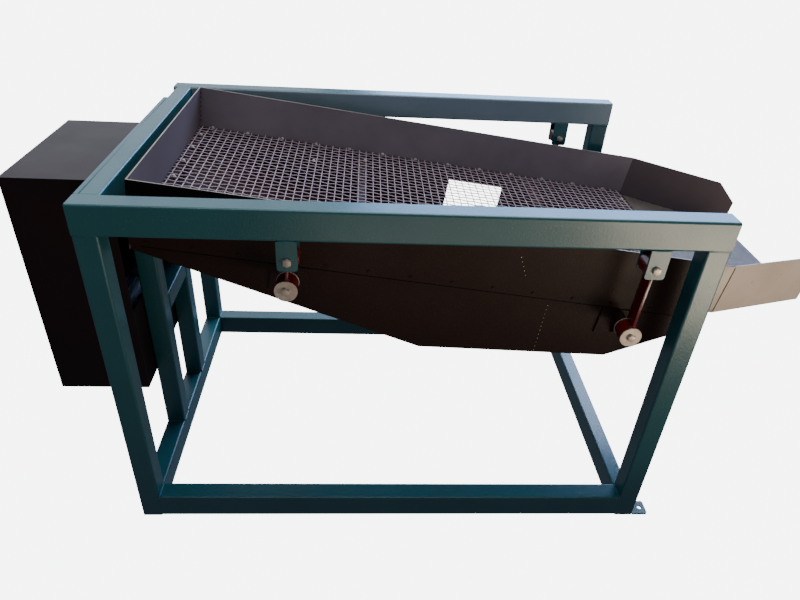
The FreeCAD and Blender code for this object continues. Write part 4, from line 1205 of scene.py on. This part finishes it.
@dataclass
class Studio:
    """Floor, lights and the camera at the photograph's angle."""

    eye: tuple[float, float, float] = (-0.2071, -1.8339, 1.6904)
    tilt_degrees: tuple[float, float, float] = (56.710, -2.882, -2.332)
    focal_mm: float = 28.746
    sensor_mm: float = 36.0
    sight: float = 60.0
    floor_half: float = 14.0
    sun_from: tuple[float, float, float] = (0.25, 0.50, 0.83)
    sun_strength: float = 1.6
    sun_degrees: float = 40.0
    backdrop: str = "#F3F5F7"
    backdrop_strength: float = 7.5
    floor_tone: str = "#4A4B4D"
    floor_glow: float = 7.2
    floor_roughness: float = 0.9
    floor_specular: float = 0.1
    fill: str = "#C9D6EA"
    fill_strength: float = 0.18

    def camera(self) -> None:
        """Places the camera."""
        data = bpy.data.cameras.new("camera")
        data.lens = self.focal_mm
        data.sensor_width = self.sensor_mm
        data.clip_end = self.sight
        holder = add_object("camera", data)
        holder.location = self.eye
        holder.rotation_euler = tuple(math.radians(angle) for angle in self.tilt_degrees)
        bpy.context.scene.camera = holder

    def floor(self) -> None:
        """Lays a wide white floor that throws no light back on the object."""
        shape = bmesh.new()
        bmesh.ops.create_grid(shape, x_segments=1, y_segments=1, size=self.floor_half)
        data = bpy.data.meshes.new("floor")
        shape.to_mesh(data)
        shape.free()
        data.materials.append(self.floor_material())
        made = add_object("floor", data)
        made.visible_diffuse = False
        made.visible_glossy = False

    def floor_material(self) -> bpy.types.Material:
        """Makes a plain white floor that glows evenly, so shadows on it stay faint."""
        made = bpy.data.materials.new("studio_floor")
        tree = empty_tree(made)
        shader = add_node(tree, "ShaderNodeBsdfPrincipled",
                          {"Base Color": linear(self.floor_tone),
                           "Roughness": self.floor_roughness,
                           "Specular IOR Level": self.floor_specular,
                           "Emission Color": linear(self.backdrop),
                           "Emission Strength": self.floor_glow})
        add_node(tree, "ShaderNodeOutputMaterial", {}, {"Surface": shader.outputs["BSDF"]})
        return made

    def backdrop_and_fill(self) -> None:
        """Makes the world pale to the eye and a dim even fill to the surfaces."""
        world = bpy.data.worlds.new("studio")
        tree = empty_tree(world)
        seen = add_node(tree, "ShaderNodeLightPath").outputs["Is Camera Ray"]
        dim = add_node(tree, "ShaderNodeBackground",
                       {"Color": linear(self.fill), "Strength": self.fill_strength})
        pale = add_node(tree, "ShaderNodeBackground",
                        {"Color": linear(self.backdrop), "Strength": self.backdrop_strength})
        both = add_node(tree, "ShaderNodeMixShader", {},
                        {0: seen, 1: dim.outputs[0], 2: pale.outputs[0]})
        add_node(tree, "ShaderNodeOutputWorld", {}, {"Surface": both.outputs[0]})
        bpy.context.scene.world = world

    def sun(self) -> None:
        """Adds the broad even light from above and behind."""
        data = bpy.data.lights.new("sun", "SUN")
        data.energy = self.sun_strength
        data.angle = math.radians(self.sun_degrees)
        holder = add_object("sun", data)
        holder.rotation_euler = (-Vector(self.sun_from)).to_track_quat("-Z", "Y").to_euler()

    def build(self) -> None:
        """Sets up the whole studio."""
        self.camera()
        self.floor()
        self.backdrop_and_fill()
        self.sun()
        for lamp in LAMPS:
            lamp.hang()


def main() -> None:
    """Builds the studio, dresses the nodes and adds every modelled piece."""
    Studio().build()
    dress_nodes()
    axes = TroughAxes()
    screen = WovenScreen(axes)
    screen.build()
    DeckScrews(screen).build()
    arms = [RockerArm(end, side, *ARM_SETS[end]) for end, side in CORNERS]
    for arm in arms:
        arm.build()
    PivotHardware(arms).build()
    FrameWelds().build()
    TroughSeams(axes).build()
    GuardScrews().build()


if __name__ == "__main__":
    logging.basicConfig(level=logging.INFO)
    main()
